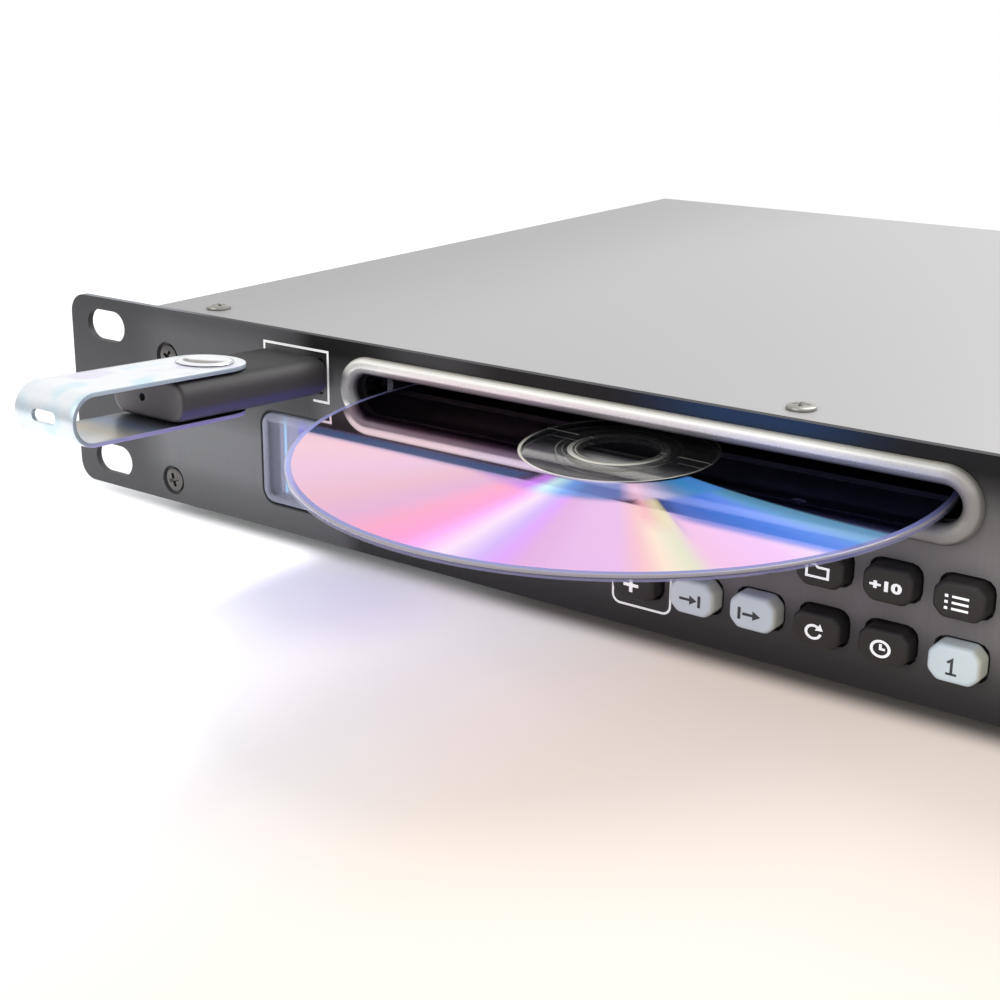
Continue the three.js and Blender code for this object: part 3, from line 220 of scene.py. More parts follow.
class Finish:
    """A material or sky as it is mixed: each method adds nodes and hands back a wire."""

    def __init__(self, name, kind="materials"):
        self.owner = getattr(bpy.data, kind).new(name)
        self.owner.use_nodes = True
        self.tree = self.owner.node_tree
        self.tree.nodes.clear()

    def node(self, kind, settings=None, values=None, output=0):
        made = self.tree.nodes.new("ShaderNode" + kind)
        for key, value in (settings or {}).items():
            if key == "stops":
                self._stops(made.color_ramp, value)
            else:
                setattr(made, key, value)
        for key, value in (values or {}).items():
            self.plug(made.inputs[key], value)
        return Wire(self, made.outputs[output]) if made.outputs else None

    def _stops(self, ramp, stops):
        while len(ramp.elements) < len(stops):
            ramp.elements.new(1.0)
        for element, (place, colour) in zip(ramp.elements, stops):
            element.position = place
            element.color = colour

    def plug(self, socket, value):
        if isinstance(value, Wire):
            self.tree.links.new(value.socket, socket)
        else:
            socket.default_value = value

    def math(self, operation, *terms):
        return self.node("Math", {"operation": operation}, dict(enumerate(terms)))

    def most(self, first, second):
        return self.math("MAXIMUM", first, second)

    def length(self, first, second):
        """Length of the line that reaches this far along two axes."""
        return self.math("SQRT", first * first + second * second)

    def place(self, scale=(1, 1, 1)):
        """Object coordinates in millimetres, stretched by scale."""
        here = self.node("TexCoord", output="Object")
        return self.node("VectorMath", {"operation": "MULTIPLY"}, {0: here, 1: [s / MM for s in scale]})

    def axes(self, vector):
        split = self.node("SeparateXYZ", None, {0: vector})
        outputs = split.socket.node.outputs
        return [Wire(self, outputs[i]) for i in range(3)]

    def facing(self):
        """X, Y and Z of the surface's normal."""
        return self.axes(self.node("NewGeometry", output="Normal"))

    def noise(self, stretch, detail=3.0, roughness=0.55):
        """Noise over millimetres stretched along the axes, or over a wire."""
        vector = stretch if isinstance(stretch, Wire) else self.place(stretch)
        return self.node("TexNoise", None, {
            "Vector": vector, "Scale": 1.0, "Detail": detail, "Roughness": roughness})

    def grain(self, size, detail=4.0, roughness=0.55):
        """Even noise with size lumps to the millimetre."""
        return self.noise((size, size, size), detail, roughness)

    def ramp(self, value, *stops):
        return self.node("ValToRGB", {"stops": stops}, {0: value})

    def step(self, value, start, end):
        """0 at start to 1 at end, smoothly."""
        return self.node("MapRange", {"interpolation_type": "SMOOTHSTEP"}, {
            "Value": value, "From Min": start, "From Max": end})

    def band(self, value, centre, outer, inner):
        """0 where value is outer or more from a centre, to 1 at inner."""
        return self.step(abs(value - centre), outer, inner)

    def blend(self, factor, first, second):
        made = self.tree.nodes.new("ShaderNodeMix")
        made.data_type = "RGBA"
        self.plug(made.inputs[0], factor)
        self.plug(made.inputs[6], first)
        self.plug(made.inputs[7], second)
        return Wire(self, made.outputs[2])

    def layers(self, base, *coats):
        """Lays pairs of a mask and a colour over a base, one after the other."""
        for mask, colour in coats:
            base = self.blend(mask, base, colour)
        return base

    def bump(self, height, strength, depth=0.04):
        """A bump of this depth in millimetres."""
        return self.node("Bump", None, {"Strength": strength, "Distance": depth * MM, "Height": height})

    def surface(self, **values):
        names = {key: key.replace("_", " ").title().replace("Ior", "IOR") for key in values}
        return self.node("BsdfPrincipled", None, {names[key]: value for key, value in values.items()})

    def done(self, shader):
        self.node("OutputMaterial", None, {"Surface": shader})
        return self.owner


# Meshes


def linked(name, data):
    """A new object for a mesh, light or camera, linked to the scene."""
    made = bpy.data.objects.new(name, data)
    bpy.context.scene.collection.objects.link(made)
    return made


def shape_object(name, points, faces=()):
    """Links a mesh of points in millimetres, with its doubles merged and its faces turned outwards."""
    mesh = bpy.data.meshes.new(name)
    mesh.from_pydata([tuple(c * MM for c in p) for p in points], [], faces)
    work = bmesh.new()
    work.from_mesh(mesh)
    bmesh.ops.remove_doubles(work, verts=work.verts, dist=MERGE * MM)
    bmesh.ops.recalc_face_normals(work, faces=work.faces)
    work.to_mesh(mesh)
    work.free()
    return linked(name, mesh)


def coated(mesh, material):
    mesh.materials.clear()
    mesh.materials.append(material)


def finish_piece(made, body, slot, material, replaced=(), smooth=35):
    """Gives an object its material and its body, and hides the CAD nodes that it replaces; the slot is not
    used. Edges past smooth degrees stay sharp.
    """
    coated(made.data, material)
    made.data.polygons.foreach_set("use_smooth", [True] * len(made.data.polygons))
    made.data.set_sharp_from_angle(angle=math.radians(smooth))
    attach(made, body)
    if replaced:
        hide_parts(*replaced)


def piece(name, points, faces, body, slot, material, replaced=(), smooth=35):
    """Links a mesh of points in millimetres as a finished piece that rides on a body."""
    finish_piece(shape_object(name, points, faces), body, slot, material, replaced, smooth)


def skin(rings, looped=False):
    """Points and faces over rings of points, each closed on itself, with both ends capped unless looped."""
    count = len(rings[0])
    points = [p for ring in rings for p in ring]
    faces = []
    for i in range(len(rings) if looped else len(rings) - 1):
        first, second = i * count, (i + 1) % len(rings) * count
        for j in range(count):
            k = (j + 1) % count
            faces.append((first + j, first + k, second + k, second + j))
    if not looped:
        last = (len(rings) - 1) * count
        faces.append(tuple(reversed(range(count))))
        faces.append(tuple(range(last, last + count)))
    return points, faces


def joined(*shapes):
    points, faces = [], []
    for more_points, more_faces in shapes:
        start = len(points)
        points.extend(more_points)
        faces.extend(tuple(start + i for i in face) for face in more_faces)
    return points, faces


def about(centre):
    """Places a turned shape so that its axis runs along Y through a centre."""
    return lambda a, b, c: (centre.x + a, c, centre.z + b)


def lathe(profile, sides, place):
    """Turns (radius, height) pairs about an axis. With both ends on the axis, its poles close the shape."""
    turns = [2 * math.pi * i / sides for i in range(sides)]
    rings = [
        [place(radius * math.cos(turn), radius * math.sin(turn), height) for turn in turns]
        for radius, height in profile]
    return skin(rings, looped=profile[0][0] > 0)


def arc(a, b, radius, start, end, steps):
    """Points on a circle about (a, b), from one angle to another."""
    turns = [start + (end - start) * i / steps for i in range(steps + 1)]
    return [(a + radius * math.cos(turn), b + radius * math.sin(turn)) for turn in turns]


def rounded(width, height, radius, a=0.0, b=0.0, steps=6):
    """Outline of a rectangle with round corners."""
    w, h = width / 2 - radius, height / 2 - radius
    outline = []
    for i, (x, z) in enumerate([(w, h), (-w, h), (-w, -h), (w, -h)]):
        outline += arc(a + x, b + z, radius, i * math.pi / 2, (i + 1) * math.pi / 2, steps)
    return outline


def clipped(width, height, cut, soft, a=0.0, b=0.0, steps=3):
    """Outline of a rectangle with its corners cut at 45 degrees and the cuts' ends rounded."""
    w, h = width / 2, height / 2
    corners = []
    for sx, sz in [(1, 1), (-1, 1), (-1, -1), (1, -1)]:
        pair = [(sx * w, sz * (h - cut)), (sx * (w - cut), sz * h)]
        corners += pair if sx * sz > 0 else pair[::-1]
    outline = []
    for i, corner in enumerate(corners):
        before, after = Vector(corners[i - 1]), Vector(corners[(i + 1) % len(corners)])
        here = Vector(corner)
        start = here + (before - here).normalized() * soft * 0.5
        end = here + (after - here).normalized() * soft * 0.5
        for j in range(steps + 1):
            t = j / steps
            p = start * (1 - t) ** 2 + here * 2 * t * (1 - t) + end * t ** 2
            outline.append((a + p.x, b + p.y))
    return outline


def upright(outline, y):
    """An outline's (x, z) points at one depth."""
    return [(x, y, z) for x, z in outline]


def ribbon(points, width, closed=False):
    """Flat strip of even width along points in a plane, as (outline points, faces)."""
    count = len(points)
    sharpest = 0.4
    left, right = [], []
    for i in range(count):
        here = Vector(points[i])
        before = Vector(points[i - 1]) if closed or i else None
        after = Vector(points[(i + 1) % count]) if closed or i < count - 1 else None
        ahead = (after - here).normalized() if after is not None else (here - before).normalized()
        behind = (here - before).normalized() if before is not None else ahead
        along = (ahead + behind).normalized()
        side = Vector((-along.y, along.x))
        reach = width / 2 / max(sharpest, side.dot(Vector((-ahead.y, ahead.x))))
        left.append(here + side * reach)
        right.append(here - side * reach)
    flat = [(p.x, p.y) for p in left + right]
    faces = []
    for i in range(count if closed else count - 1):
        k = (i + 1) % count
        faces.append((i, k, count + k, count + i))
    return flat, faces


def printed(shapes, front, thick=0.03):
    """Flat shapes given as (x, z) outlines and faces, laid on the plane y = front as thin prints."""
    points, faces = [], []
    for flat, cells in shapes:
        start = len(points)
        count = len(flat)
        points += upright(flat, front - thick)
        points += upright(flat, front + thick / 3)
        edges = {}
        for cell in cells:
            faces.append(tuple(start + i for i in cell))
            faces.append(tuple(start + count + i for i in reversed(cell)))
            for i, j in zip(cell, cell[1:] + cell[:1]):
                if (j, i) in edges:
                    del edges[(j, i)]
                else:
                    edges[(i, j)] = True
        faces += [(start + i, start + j, start + count + j, start + count + i) for i, j in edges]
    return points, faces


def blob(outline):
    return outline, [tuple(range(len(outline)))]


def settle(made):
    """Turns an object's live modifiers into plain mesh."""
    graph = bpy.context.evaluated_depsgraph_get()
    mesh = bpy.data.meshes.new_from_object(made.evaluated_get(graph))
    made.modifiers.clear()
    made.data = mesh


def carve(made, *tools):
    """Cuts closed tool objects out of an object and removes them."""
    for tool in tools:
        cut = made.modifiers.new("cut", "BOOLEAN")
        cut.operation = "DIFFERENCE"
        cut.solver = "EXACT"
        cut.object = tool
    settle(made)
    for tool in tools:
        bpy.data.objects.remove(tool)


# Geometry Nodes


class Garden:
    """A Geometry Nodes tree with named sizes, grown on loose points."""

    def __init__(self, name, sizes):
        self.tree = bpy.data.node_groups.new(name, "GeometryNodeTree")
        face = self.tree.interface
        face.new_socket("Geometry", in_out="INPUT", socket_type="NodeSocketGeometry")
        self.values = {}
        for label, value in sizes.items():
            kind = "NodeSocketInt" if isinstance(value, int) else "NodeSocketFloat"
            socket = face.new_socket(label, in_out="INPUT", socket_type=kind)
            self.values[socket.identifier] = value
        face.new_socket("Geometry", in_out="OUTPUT", socket_type="NodeSocketGeometry")
        self.start = self.tree.nodes.new("NodeGroupInput")
        self.end = self.tree.nodes.new("NodeGroupOutput")

    def size(self, label):
        return self.start.outputs[label]

    def node(self, kind, settings=None, values=None):
        made = self.tree.nodes.new(kind)
        for key, value in (settings or {}).items():
            setattr(made, key, value)
        for key, value in (values or {}).items():
            if isinstance(value, bpy.types.NodeSocket):
                self.tree.links.new(value, made.inputs[key])
            else:
                made.inputs[key].default_value = value
        return made

    def copies(self, shape, points, turned=(0, 0, 0)):
        """A turned copy of an object on each point."""
        info = self.node("GeometryNodeObjectInfo", None, {"Object": shape, "As Instance": True})
        spread = self.node("GeometryNodeInstanceOnPoints", None, {
            "Points": points, "Instance": info.outputs["Geometry"], "Rotation": turned})
        return spread.outputs[0]

    def grow(self, name, instances, material, shape, points=((0, 0, 0),)):
        """Ends the tree, runs it on points in millimetres and removes the shape that it copies."""
        real = self.node("GeometryNodeRealizeInstances", None, {"Geometry": instances})
        dressed = self.node("GeometryNodeSetMaterial", None, {
            "Geometry": real.outputs[0], "Material": material})
        self.tree.links.new(dressed.outputs[0], self.end.inputs[0])
        made = shape_object(name, points)
        modifier = made.modifiers.new(name, "NODES")
        modifier.node_group = self.tree
        for identifier, value in self.values.items():
            modifier[identifier] = value
        settle(made)
        bpy.data.objects.remove(shape)
        return made


# Finishes. Ranges and places are in millimetres, and a pair of them is where a soft edge starts and ends.

WHITE = (1.0, 1.0, 1.0, 1.0)

# Painted sheen of the panel's paint, a painted reflection, by height from its lower edge (0) to its upper
# edge (1)
EAR_SHEEN = ((0.0, 0.365), (0.42, 0.365), (0.62, 0.301), (0.8, 0.243), (0.97, 0.19))
PORT_SHEEN = (
    (0.02, 0.452), (0.08, 0.534), (0.14, 0.633), (0.23, 0.926), (0.33, 1), (0.43, 1), (0.52, 0.636),
    (0.62, 0.41), (0.8, 0.486), (0.88, 0.468), (0.97, 0.284))
KEYS_SHEEN = (
    (0.02, 0.09), (0.08, 0.15), (0.15, 0.27), (0.3, 0.77), (0.4, 0.872), (0.62, 0.87), (0.78, 0.578),
    (0.87, 0.158), (0.93, 0.001), (1.0, 0.0))
# Warmer tint of the panel's painted sheen
WARM_SHIFT = (1.06, 0.98, 0.93)

LENS_LIP = 1.4
LENS_CORNER = 3.0

# Painted reflections in the display, bands of light: offset from its middle, half width and tint
DISPLAY_REFLECTIONS = (
    (-29.0, 1.9, (112, 104, 214)), (-25.6, 1.8, (128, 202, 255)), (-21.9, 2.3, (180, 172, 250)))
# Offset of a thin painted highlight from the display's middle
DISPLAY_GLINT = -34.4

TRIM_LIP = 3.55
TRIM_WALL = 0.7


def shown_window():
    """Half sizes of the display window's part that stands in the panel, without its lip."""
    return span("display_window") / 2 - Vector((LENS_LIP, 0, LENS_LIP))


def panel_paint(colour, sheen):
    """Satin paint with a painted sheen, a painted reflection strongest round the port, painted highlights
    near the top and on the upper edge, a navy painted reflection near the top, and a painted shadow in the
    gap round the display window.
    """
    finish = Finish("panel_paint")
    foot, top = low("front_panel"), high("front_panel")
    disc_left, disc_right = low("disc").x, high("disc").x
    slot_left, slot_right = low("slot_bezel").x, high("slot_bezel").x
    cap_left = low("stick_cap").x
    grain = finish.grain(2.4)
    streaks = finish.noise((1.6, 0.4, 0.05), 3.0, 0.7)
    cloud = finish.noise((0.03, 0.03, 0.05), 2.0)
    x, _, z = finish.axes(finish.place())
    up = (z - foot.z) * (1 / (top.z - foot.z))
    crown = finish.step(up, 0.9, 0.97)

    def levels(sheens):
        return finish.ramp(up, *[(height, (level, level, level, 1.0)) for height, level in sheens])

    left = finish.blend(finish.step(x, cap_left - 44, cap_left - 30), levels(EAR_SHEEN), levels(PORT_SHEEN))
    # The painted sheen turns along a slanted line at the slot's left end
    slant = x + 13 * up - slot_left
    spread = finish.blend(finish.step(slant, -2, 5), left, levels(KEYS_SHEEN))
    # Painted highlight near the top of the panel over the disc's left part
    top_highlight = finish.band(x, disc_left + 16, 18, 4) * crown * 0.16
    # Share of painted sheen, broken by streaks and clouds in the paint, plus the painted highlight near the
    # top
    soft = spread * (0.82 + 0.2 * streaks + 0.16 * cloud) + top_highlight
    # The painted sheen turns warmer from the disc's left edge to the slot's right end
    warm_sheen = [c * shift for c, shift in zip(sheen, WARM_SHIFT)] + [1.0]
    warm = finish.blend(finish.step(x, disc_left, slot_right), sheen, warm_sheen)
    # Navy painted reflection near the top of the panel over the disc's right part
    navy = finish.band(x, disc_right - 34, 30, 6) * crown
    # Painted highlight on the panel's upward-facing upper edge, pale at the left end and dark further right
    edge_highlight_mask = finish.step(finish.facing()[2], 0.5, 0.9) * finish.step(up, 0.96, 0.99)
    edge_highlight = finish.blend(
        finish.step(x, foot.x + 27.3, foot.x + 51.3), srgb(132, 135, 140), srgb(48, 48, 52))
    # How far a point lies outside the window's rounded outline, for the painted shadow in the gap round it
    window, half = middle("display_window"), shown_window()
    wide = finish.most(abs(x - window.x) - (half.x - LENS_CORNER), 0.0)
    tall = finish.most(abs(z - window.z) - (half.z - LENS_CORNER), 0.0)
    outside = finish.length(wide, tall) - LENS_CORNER
    base = finish.layers(
        finish.blend(soft, colour, warm),
        (navy * 0.7, srgb(30, 62, 98)),
        (edge_highlight_mask, edge_highlight),
        (finish.step(outside, 0.9, 0.45), srgb(12, 12, 16)))
    return finish.done(finish.surface(
        base_color=base, roughness=0.42 + 0.14 * grain + 0.06 * streaks, specular_ior_level=0.2,
        normal=finish.bump(grain * 0.7 + streaks * 0.3, 0.12, 0.05)))


def cover_paint(colour, lit_colour):
    """Fine speckled paint with a painted reflection that brightens it away from the left side."""
    finish = Finish("cover_paint")
    grain = finish.grain(3.0)
    x, _, _ = finish.axes(finish.place())
    # Painted reflection, fading in from the left side to the lit tone
    reflection_share = finish.step(x + 15 * finish.noise((0.03, 0.01, 0.02), 2.0), -220, -130)
    base = finish.blend(0.12 * grain, finish.blend(reflection_share, colour, lit_colour), srgb(226, 224, 222))
    return finish.done(finish.surface(
        base_color=base, roughness=0.34 + 0.14 * grain, metallic=0.35, normal=finish.bump(grain, 0.1, 0.05)))


def metal(name, colour, rough, grain_size=2.0):
    """Bare or plated metal with a fine grain and faint stains."""
    finish = Finish(name)
    grain = finish.grain(grain_size, 4.0, 0.65)
    stain = finish.grain(0.05, 2.0)
    base = finish.blend(stain * 0.25 + grain * 0.2, colour, dimmed(colour, 0.72))
    return finish.done(finish.surface(
        base_color=base, roughness=rough * 0.7 + grain * (rough * 0.6), metallic=1.0,
        normal=finish.bump(grain, 0.15)))


def plastic(name, colour, rough, grain_size, depth, coat=0.0):
    """Moulded plastic, rubber or felt with a grain as strong as depth and faint stains."""
    finish = Finish(name)
    grain = finish.grain(grain_size, 5.0, 0.6)
    stain = finish.grain(0.12, 2.0)
    base = finish.blend(stain * 0.5 + grain * 0.2, colour, dimmed(colour, 0.8, 0.012))
    return finish.done(finish.surface(
        base_color=base, roughness=rough * 0.85 + grain * (rough * 0.3), normal=finish.bump(grain, depth),
        coat_weight=coat))


def pale_silicone(colour):
    """Cool white silicone with warm painted light on its right sides and painted shade behind the panel's
    face.
    """
    finish = Finish("pale_silicone")
    grain = finish.grain(2.0)
    _, y, _ = finish.axes(finish.place())
    base = finish.layers(
        colour,
        # Warm painted light on the sides that face right
        (finish.step(finish.facing()[0], 0.2, 0.9) * 0.8, srgb(226, 220, 196)),
        # Painted shade on what lies behind the panel's face
        (finish.step(y, -0.1, 0.3), srgb(24, 26, 28)))
    return finish.done(finish.surface(
        base_color=base, roughness=0.38 + 0.1 * grain, normal=finish.bump(grain, 0.12), coat_weight=0.15))


def ink(name, colour, glow=0.0):
    """Printed ink with a slight speck. Glow makes it shine a little, as painted light."""
    finish = Finish(name)
    speck = finish.grain(4.0, 2.0)
    base = finish.blend(speck * 0.15, colour, dimmed(colour, 0.85))
    return finish.done(finish.surface(
        base_color=base, roughness=0.5 + 0.1 * speck, emission_color=colour, emission_strength=glow))


def clear_lens():
    """Clear plastic with a painted highlight along its moulded border, where it reads paler."""
    finish = Finish("clear_lens")
    speck = finish.grain(0.8, 3.0)
    x, _, z = finish.axes(finish.place())
    window, half = middle("display_window"), shown_window()
    outside = finish.most(abs(x - window.x) - half.x, abs(z - window.z) - half.z)
    # Painted highlight of the bevel along the border
    rim = finish.step(outside, -2.4, -1.2)
    return finish.done(finish.surface(
        base_color=srgb(196, 200, 224), roughness=0.04 + 0.02 * speck, alpha=0.1 + 0.32 * rim + 0.04 * speck,
        coat_weight=0.6))


def display_glass():
    """Dim lavender display that glows a little as painted light, with painted reflections in bands of light
    at its left, a thin painted highlight and a dark edge round its cell.
    """
    finish = Finish("display_glass")
    x, _, z = finish.axes(finish.place())
    centre, wide = middle("lcd_module"), span("lcd_module").x
    cell_edge = finish.most(
        finish.step(abs(x - centre.x), 35.6, 36.4), finish.step(abs(z - centre.z), 8.2, 8.8))
    sweep = finish.step(x, centre.x - wide / 2, centre.x - wide / 8)
    bands = [
        (finish.band(x, centre.x + offset, reach, reach - 0.7) * 0.9, srgb(*tint))
        for offset, reach, tint in DISPLAY_REFLECTIONS]
    grain = finish.grain(1.4, 2.0)
    base = finish.layers(
        finish.blend(sweep, srgb(146, 150, 172), srgb(116, 118, 176)),
        *bands,
        (finish.band(x, centre.x + DISPLAY_GLINT, 0.5, 0.2), srgb(170, 220, 255)),
        (cell_edge * 0.85, srgb(84, 86, 98)))
    # The emission is a painted glow
    return finish.done(finish.surface(
        base_color=base, roughness=0.3 + 0.08 * grain, emission_color=base, emission_strength=0.4,
        coat_weight=0.3))


def board_green():
    """Green circuit board with faint cells of parts and tracks."""
    finish = Finish("circuit_board")
    cells = finish.node("TexVoronoi", None, {
        "Vector": finish.place((0.35, 0.35, 0.35)), "Scale": 1.0}, "Color")
    tone = finish.grain(0.3, 3.0)
    base = finish.layers(srgb(26, 84, 50), (tone * 0.4, srgb(52, 120, 76)), (0.12, cells))
    return finish.done(finish.surface(base_color=base, roughness=0.4 + 0.1 * tone, coat_weight=0.3))


def satin_cast():
    """Grainy silver with a cream painted highlight on its crest and a thin one on its outer edge, dull beside
    it and at its right end, with painted shade on its underside, along its inner edge and on its inner wall.
    """
    finish = Finish("satin_cast")
    centre, right = middle("slot_bezel"), high("slot_bezel").x
    outer = span("slot_bezel").z / 2
    reach = span("slot_bezel").x / 2 - outer
    x, y, z = finish.axes(finish.place())
    rise = z - centre.z
    from_axis = finish.length(finish.most(abs(x - centre.x) - reach, 0.0), rise)
    out = (from_axis - (outer - TRIM_LIP)) * (1 / TRIM_LIP)
    grain = finish.grain(3.5, 5.0, 0.7)
    # Painted highlight on the crest, fading out towards the right end
    crest = finish.step(out + 0.12 * grain, 0.42, 0.56) * finish.step(abs(rise), outer * 0.3, outer * 0.62)
    fade = finish.step(x, right - 34, right - 8) * (0.45 + 0.55 * finish.step(rise, 2, -2))
    dull = finish.blend(grain, srgb(104, 103, 105), srgb(162, 161, 160))
    cream = finish.blend(grain, srgb(206, 205, 197), srgb(255, 254, 249))
    base = finish.layers(
        dull,
        (crest * (1.0 - fade), cream),
        # Thin painted highlight along the outer edge
        (finish.step(out, 0.9, 1.0) * 0.5, srgb(250, 240, 222)),
        (finish.step(x, right - outer * 1.2, right - TRIM_LIP) * 0.75, srgb(150, 145, 140)),
        # Painted shade on the underside, along the inner edge and on the inner wall behind the panel's face
        (finish.step(finish.facing()[2], -0.7, -0.95) * 0.9, srgb(50, 46, 56)),
        (finish.step(out, 0.1, 0.02) * 0.6, srgb(70, 64, 72)),
        (finish.step(y, -0.1, 0.2), srgb(40, 37, 44)))
    return finish.done(finish.surface(
        base_color=base, roughness=0.4 + 0.12 * grain, metallic=0.6, normal=finish.bump(grain, 0.35, 0.08)))


# Disc: it lies on a plane tilted about X

DISC_TILT = math.radians(2)
DISC_THICK = 1.2
DISC_UP = Vector((0, -math.sin(DISC_TILT), math.cos(DISC_TILT)))
DISC_CENTRE = micron(middle("disc") - DISC_UP * DISC_THICK / 2)

# Section from the hole's lower edge over the top and the rim back to it, with the moulded rings of the hub
DISC_PROFILE = (
    (7.5, 0.15), (7.5, 1.05), (7.62, 1.18), (7.75, 1.2), (8.9, 1.2), (9.0, 1.12), (9.5, 1.12),
    (9.6, 1.2), (11.0, 1.2), (11.1, 1.14), (11.4, 1.14), (11.5, 1.2), (17.5, 1.2), (17.6, 1.08),
    (18.1, 1.08), (18.2, 1.2), (18.6, 1.2), (30.0, 1.2), (45.0, 1.2), (58.6, 1.2), (59.5, 1.2),
    (59.75, 1.2), (59.93, 1.13), (60.0, 0.95), (60.0, 0.25), (59.93, 0.07), (59.75, 0.0), (59.5, 0.0),
    (45.0, 0.0), (30.0, 0.0), (18.6, 0.0), (18.25, 0.0), (18.2, -0.12), (17.95, -0.15), (17.4, -0.15),
    (17.2, -0.12), (17.15, 0.0), (7.65, 0.0))

# Painted diffraction colours that fan out on the mirror, by the angle round its centre as a share of a half
# turn
OUTER_FAN = (
    (0.0, (150, 180, 240)), (0.5, (150, 120, 200)), (-0.95, (222, 180, 206)), (-0.82, (246, 194, 212)),
    (-0.74, (238, 190, 220)), (-0.66, (236, 178, 200)), (-0.6, (230, 168, 212)), (-0.56, (252, 158, 198)),
    (-0.52, (255, 152, 216)), (-0.5, (255, 170, 251)), (-0.47, (255, 228, 253)), (-0.44, (212, 178, 252)),
    (-0.42, (226, 156, 255)), (-0.4, (228, 168, 226)), (-0.36, (234, 182, 234)), (-0.32, (236, 184, 236)),
    (-0.3, (250, 190, 204)), (-0.28, (255, 232, 208)), (-0.26, (226, 232, 196)), (-0.24, (247, 190, 234)),
    (-0.18, (248, 198, 253)), (-0.14, (254, 224, 250)), (-0.03, (150, 180, 240)))
INNER_FAN = (
    (0.0, (70, 120, 210)), (0.5, (110, 90, 180)), (-0.95, (130, 110, 180)), (-0.7, (170, 130, 200)),
    (-0.58, (200, 130, 215)), (-0.52, (206, 116, 246)), (-0.485, (210, 250, 255)), (-0.44, (107, 162, 244)),
    (-0.4, (84, 118, 196)), (-0.32, (92, 110, 185)), (-0.285, (250, 194, 219)), (-0.24, (190, 176, 210)),
    (-0.2, (95, 137, 190)), (-0.16, (50, 148, 220)), (-0.12, (80, 156, 240)), (-0.03, (70, 120, 210)))
# Tints of the painted blue diffraction fan, from inside it out to its edge, and the angle of the narrow
# painted pink fan
BLUE_FAN = (
    (0.0, (44, 84, 186)), (0.35, (6, 104, 214)), (0.62, (44, 122, 240)), (0.82, (92, 150, 255)),
    (0.93, (92, 168, 222)), (1.0, (84, 150, 186)))
PINK_FAN_AT = -0.268

# Moulded rings of the clear hub: radius, width and how strong their painted highlight is
HUB_RINGS = ((11.4, 0.2, 0.7), (10.2, 0.15, 0.6), (8.8, 1.0, 1.0), (7.8, 0.4, 0.9))
HOLE = 7.5


def on_disc(x, y, z):
    """A point of the disc's own frame, in millimetres, as a point of the part."""
    c, s = math.cos(DISC_TILT), math.sin(DISC_TILT)
    return (DISC_CENTRE.x + x, DISC_CENTRE.y + y * c - z * s, DISC_CENTRE.z + y * s + z * c)


class DiscPlace:
    """Where a point lies on the disc, as wires. Across and inward run from its centre."""

    def __init__(self, finish):
        x, y, z = finish.axes(finish.place())
        self.across = x - DISC_CENTRE.x
        self.inward = (y - DISC_CENTRE.y) / math.cos(DISC_TILT)
        self.radius = finish.length(self.across, self.inward)
        self.angle = finish.math("ARCTAN2", self.inward, self.across) * (1 / math.pi)
        self.above = z - DISC_CENTRE.z - self.inward * math.sin(DISC_TILT)
        along = finish.node("CombineXYZ", None, {0: self.radius * 0.9, 1: 0.0, 2: 0.0})
        self.rings = finish.noise(along, 2.0)


def mirror_tints(finish, at):
    """Painted diffraction colours of the mirror by angle, for its outer and its inner part."""
    turn = finish.math("FRACT", at.angle * 0.5 + 1.0)
    return [
        finish.ramp(turn, *[(angle / 2 % 1, srgb(*tint)) for angle, tint in fan])
        for fan in (OUTER_FAN, INNER_FAN)]


def foil(finish, at, outer, inner):
    """The mirror. Where it shows the dark slot and trim it keeps a plain tint, a painted tint of the trim's
    reflection, pink at the left and lavender at the right.
    """
    dark_zone = finish.step(at.inward, -25.0, -19.0)
    # Painted tint of the trim's reflection
    plain = finish.blend(finish.step(at.across, -40.0, 30.0), srgb(226, 196, 212), srgb(176, 178, 230))
    shade = finish.layers(
        finish.blend(finish.step(at.radius, 29.5, 25.0), outer, inner),
        (dark_zone * 0.85, plain),
        (at.rings * 0.06, WHITE))
    return finish.surface(base_color=shade, metallic=1.0, roughness=0.03 + 0.02 * at.rings)


def glow(finish, at, inner, hub):
    """Painted light that shows even where the mirror is dark: a blue painted diffraction fan at the right, a
    narrow pink one beside it, the inner painted diffraction tints round the hub and a navy strip, a painted
    reflection. Hands back how strongly they show, and their surface."""
    fan_edge = at.angle - (at.radius * 0.0009 - 0.124)
    before_edge = finish.step(fan_edge, 0.004, -0.004)
    off_hub = finish.step(at.radius, hub + 0.4, hub + 1.4)
    blue_fan = finish.step(at.angle, -0.27, -0.215) * before_edge
    pink_fan = finish.band(at.angle, PINK_FAN_AT, 0.034, 0.008)
    halo = finish.step(at.radius, 29.0, 26.0) * finish.step(at.angle, -0.57, -0.53) * before_edge
    # Navy strip, a painted reflection, in the mirror's dark zone
    strip = finish.step(at.inward, -25.6, -23.4) * finish.step(at.inward, -19.0, -21.0)
    strip = strip * finish.step(at.angle, -0.54, -0.6)
    sky = finish.ramp(finish.step(fan_edge, -0.16, 0.0), *[(share, srgb(*tint)) for share, tint in BLUE_FAN])
    pink = finish.blend(finish.step(at.angle, -0.29, -0.25), srgb(238, 150, 180), srgb(226, 214, 170))
    tint = finish.layers(
        finish.blend(finish.step(pink_fan - blue_fan, -0.2, 0.3), sky, pink),
        (halo, inner),
        (strip, srgb(28, 82, 150)))
    right_share = finish.most(blue_fan * 0.78, halo * 0.75) * (finish.step(at.inward, -27.0, -24.0) * off_hub)
    pink_share = pink_fan * (finish.step(at.inward, -34.0, -26.0) * off_hub) * 0.8
    share = finish.most(right_share, pink_share) + strip * 0.45
    return share, finish.surface(base_color=tint, roughness=0.32 + 0.02 * at.rings, metallic=0.0)


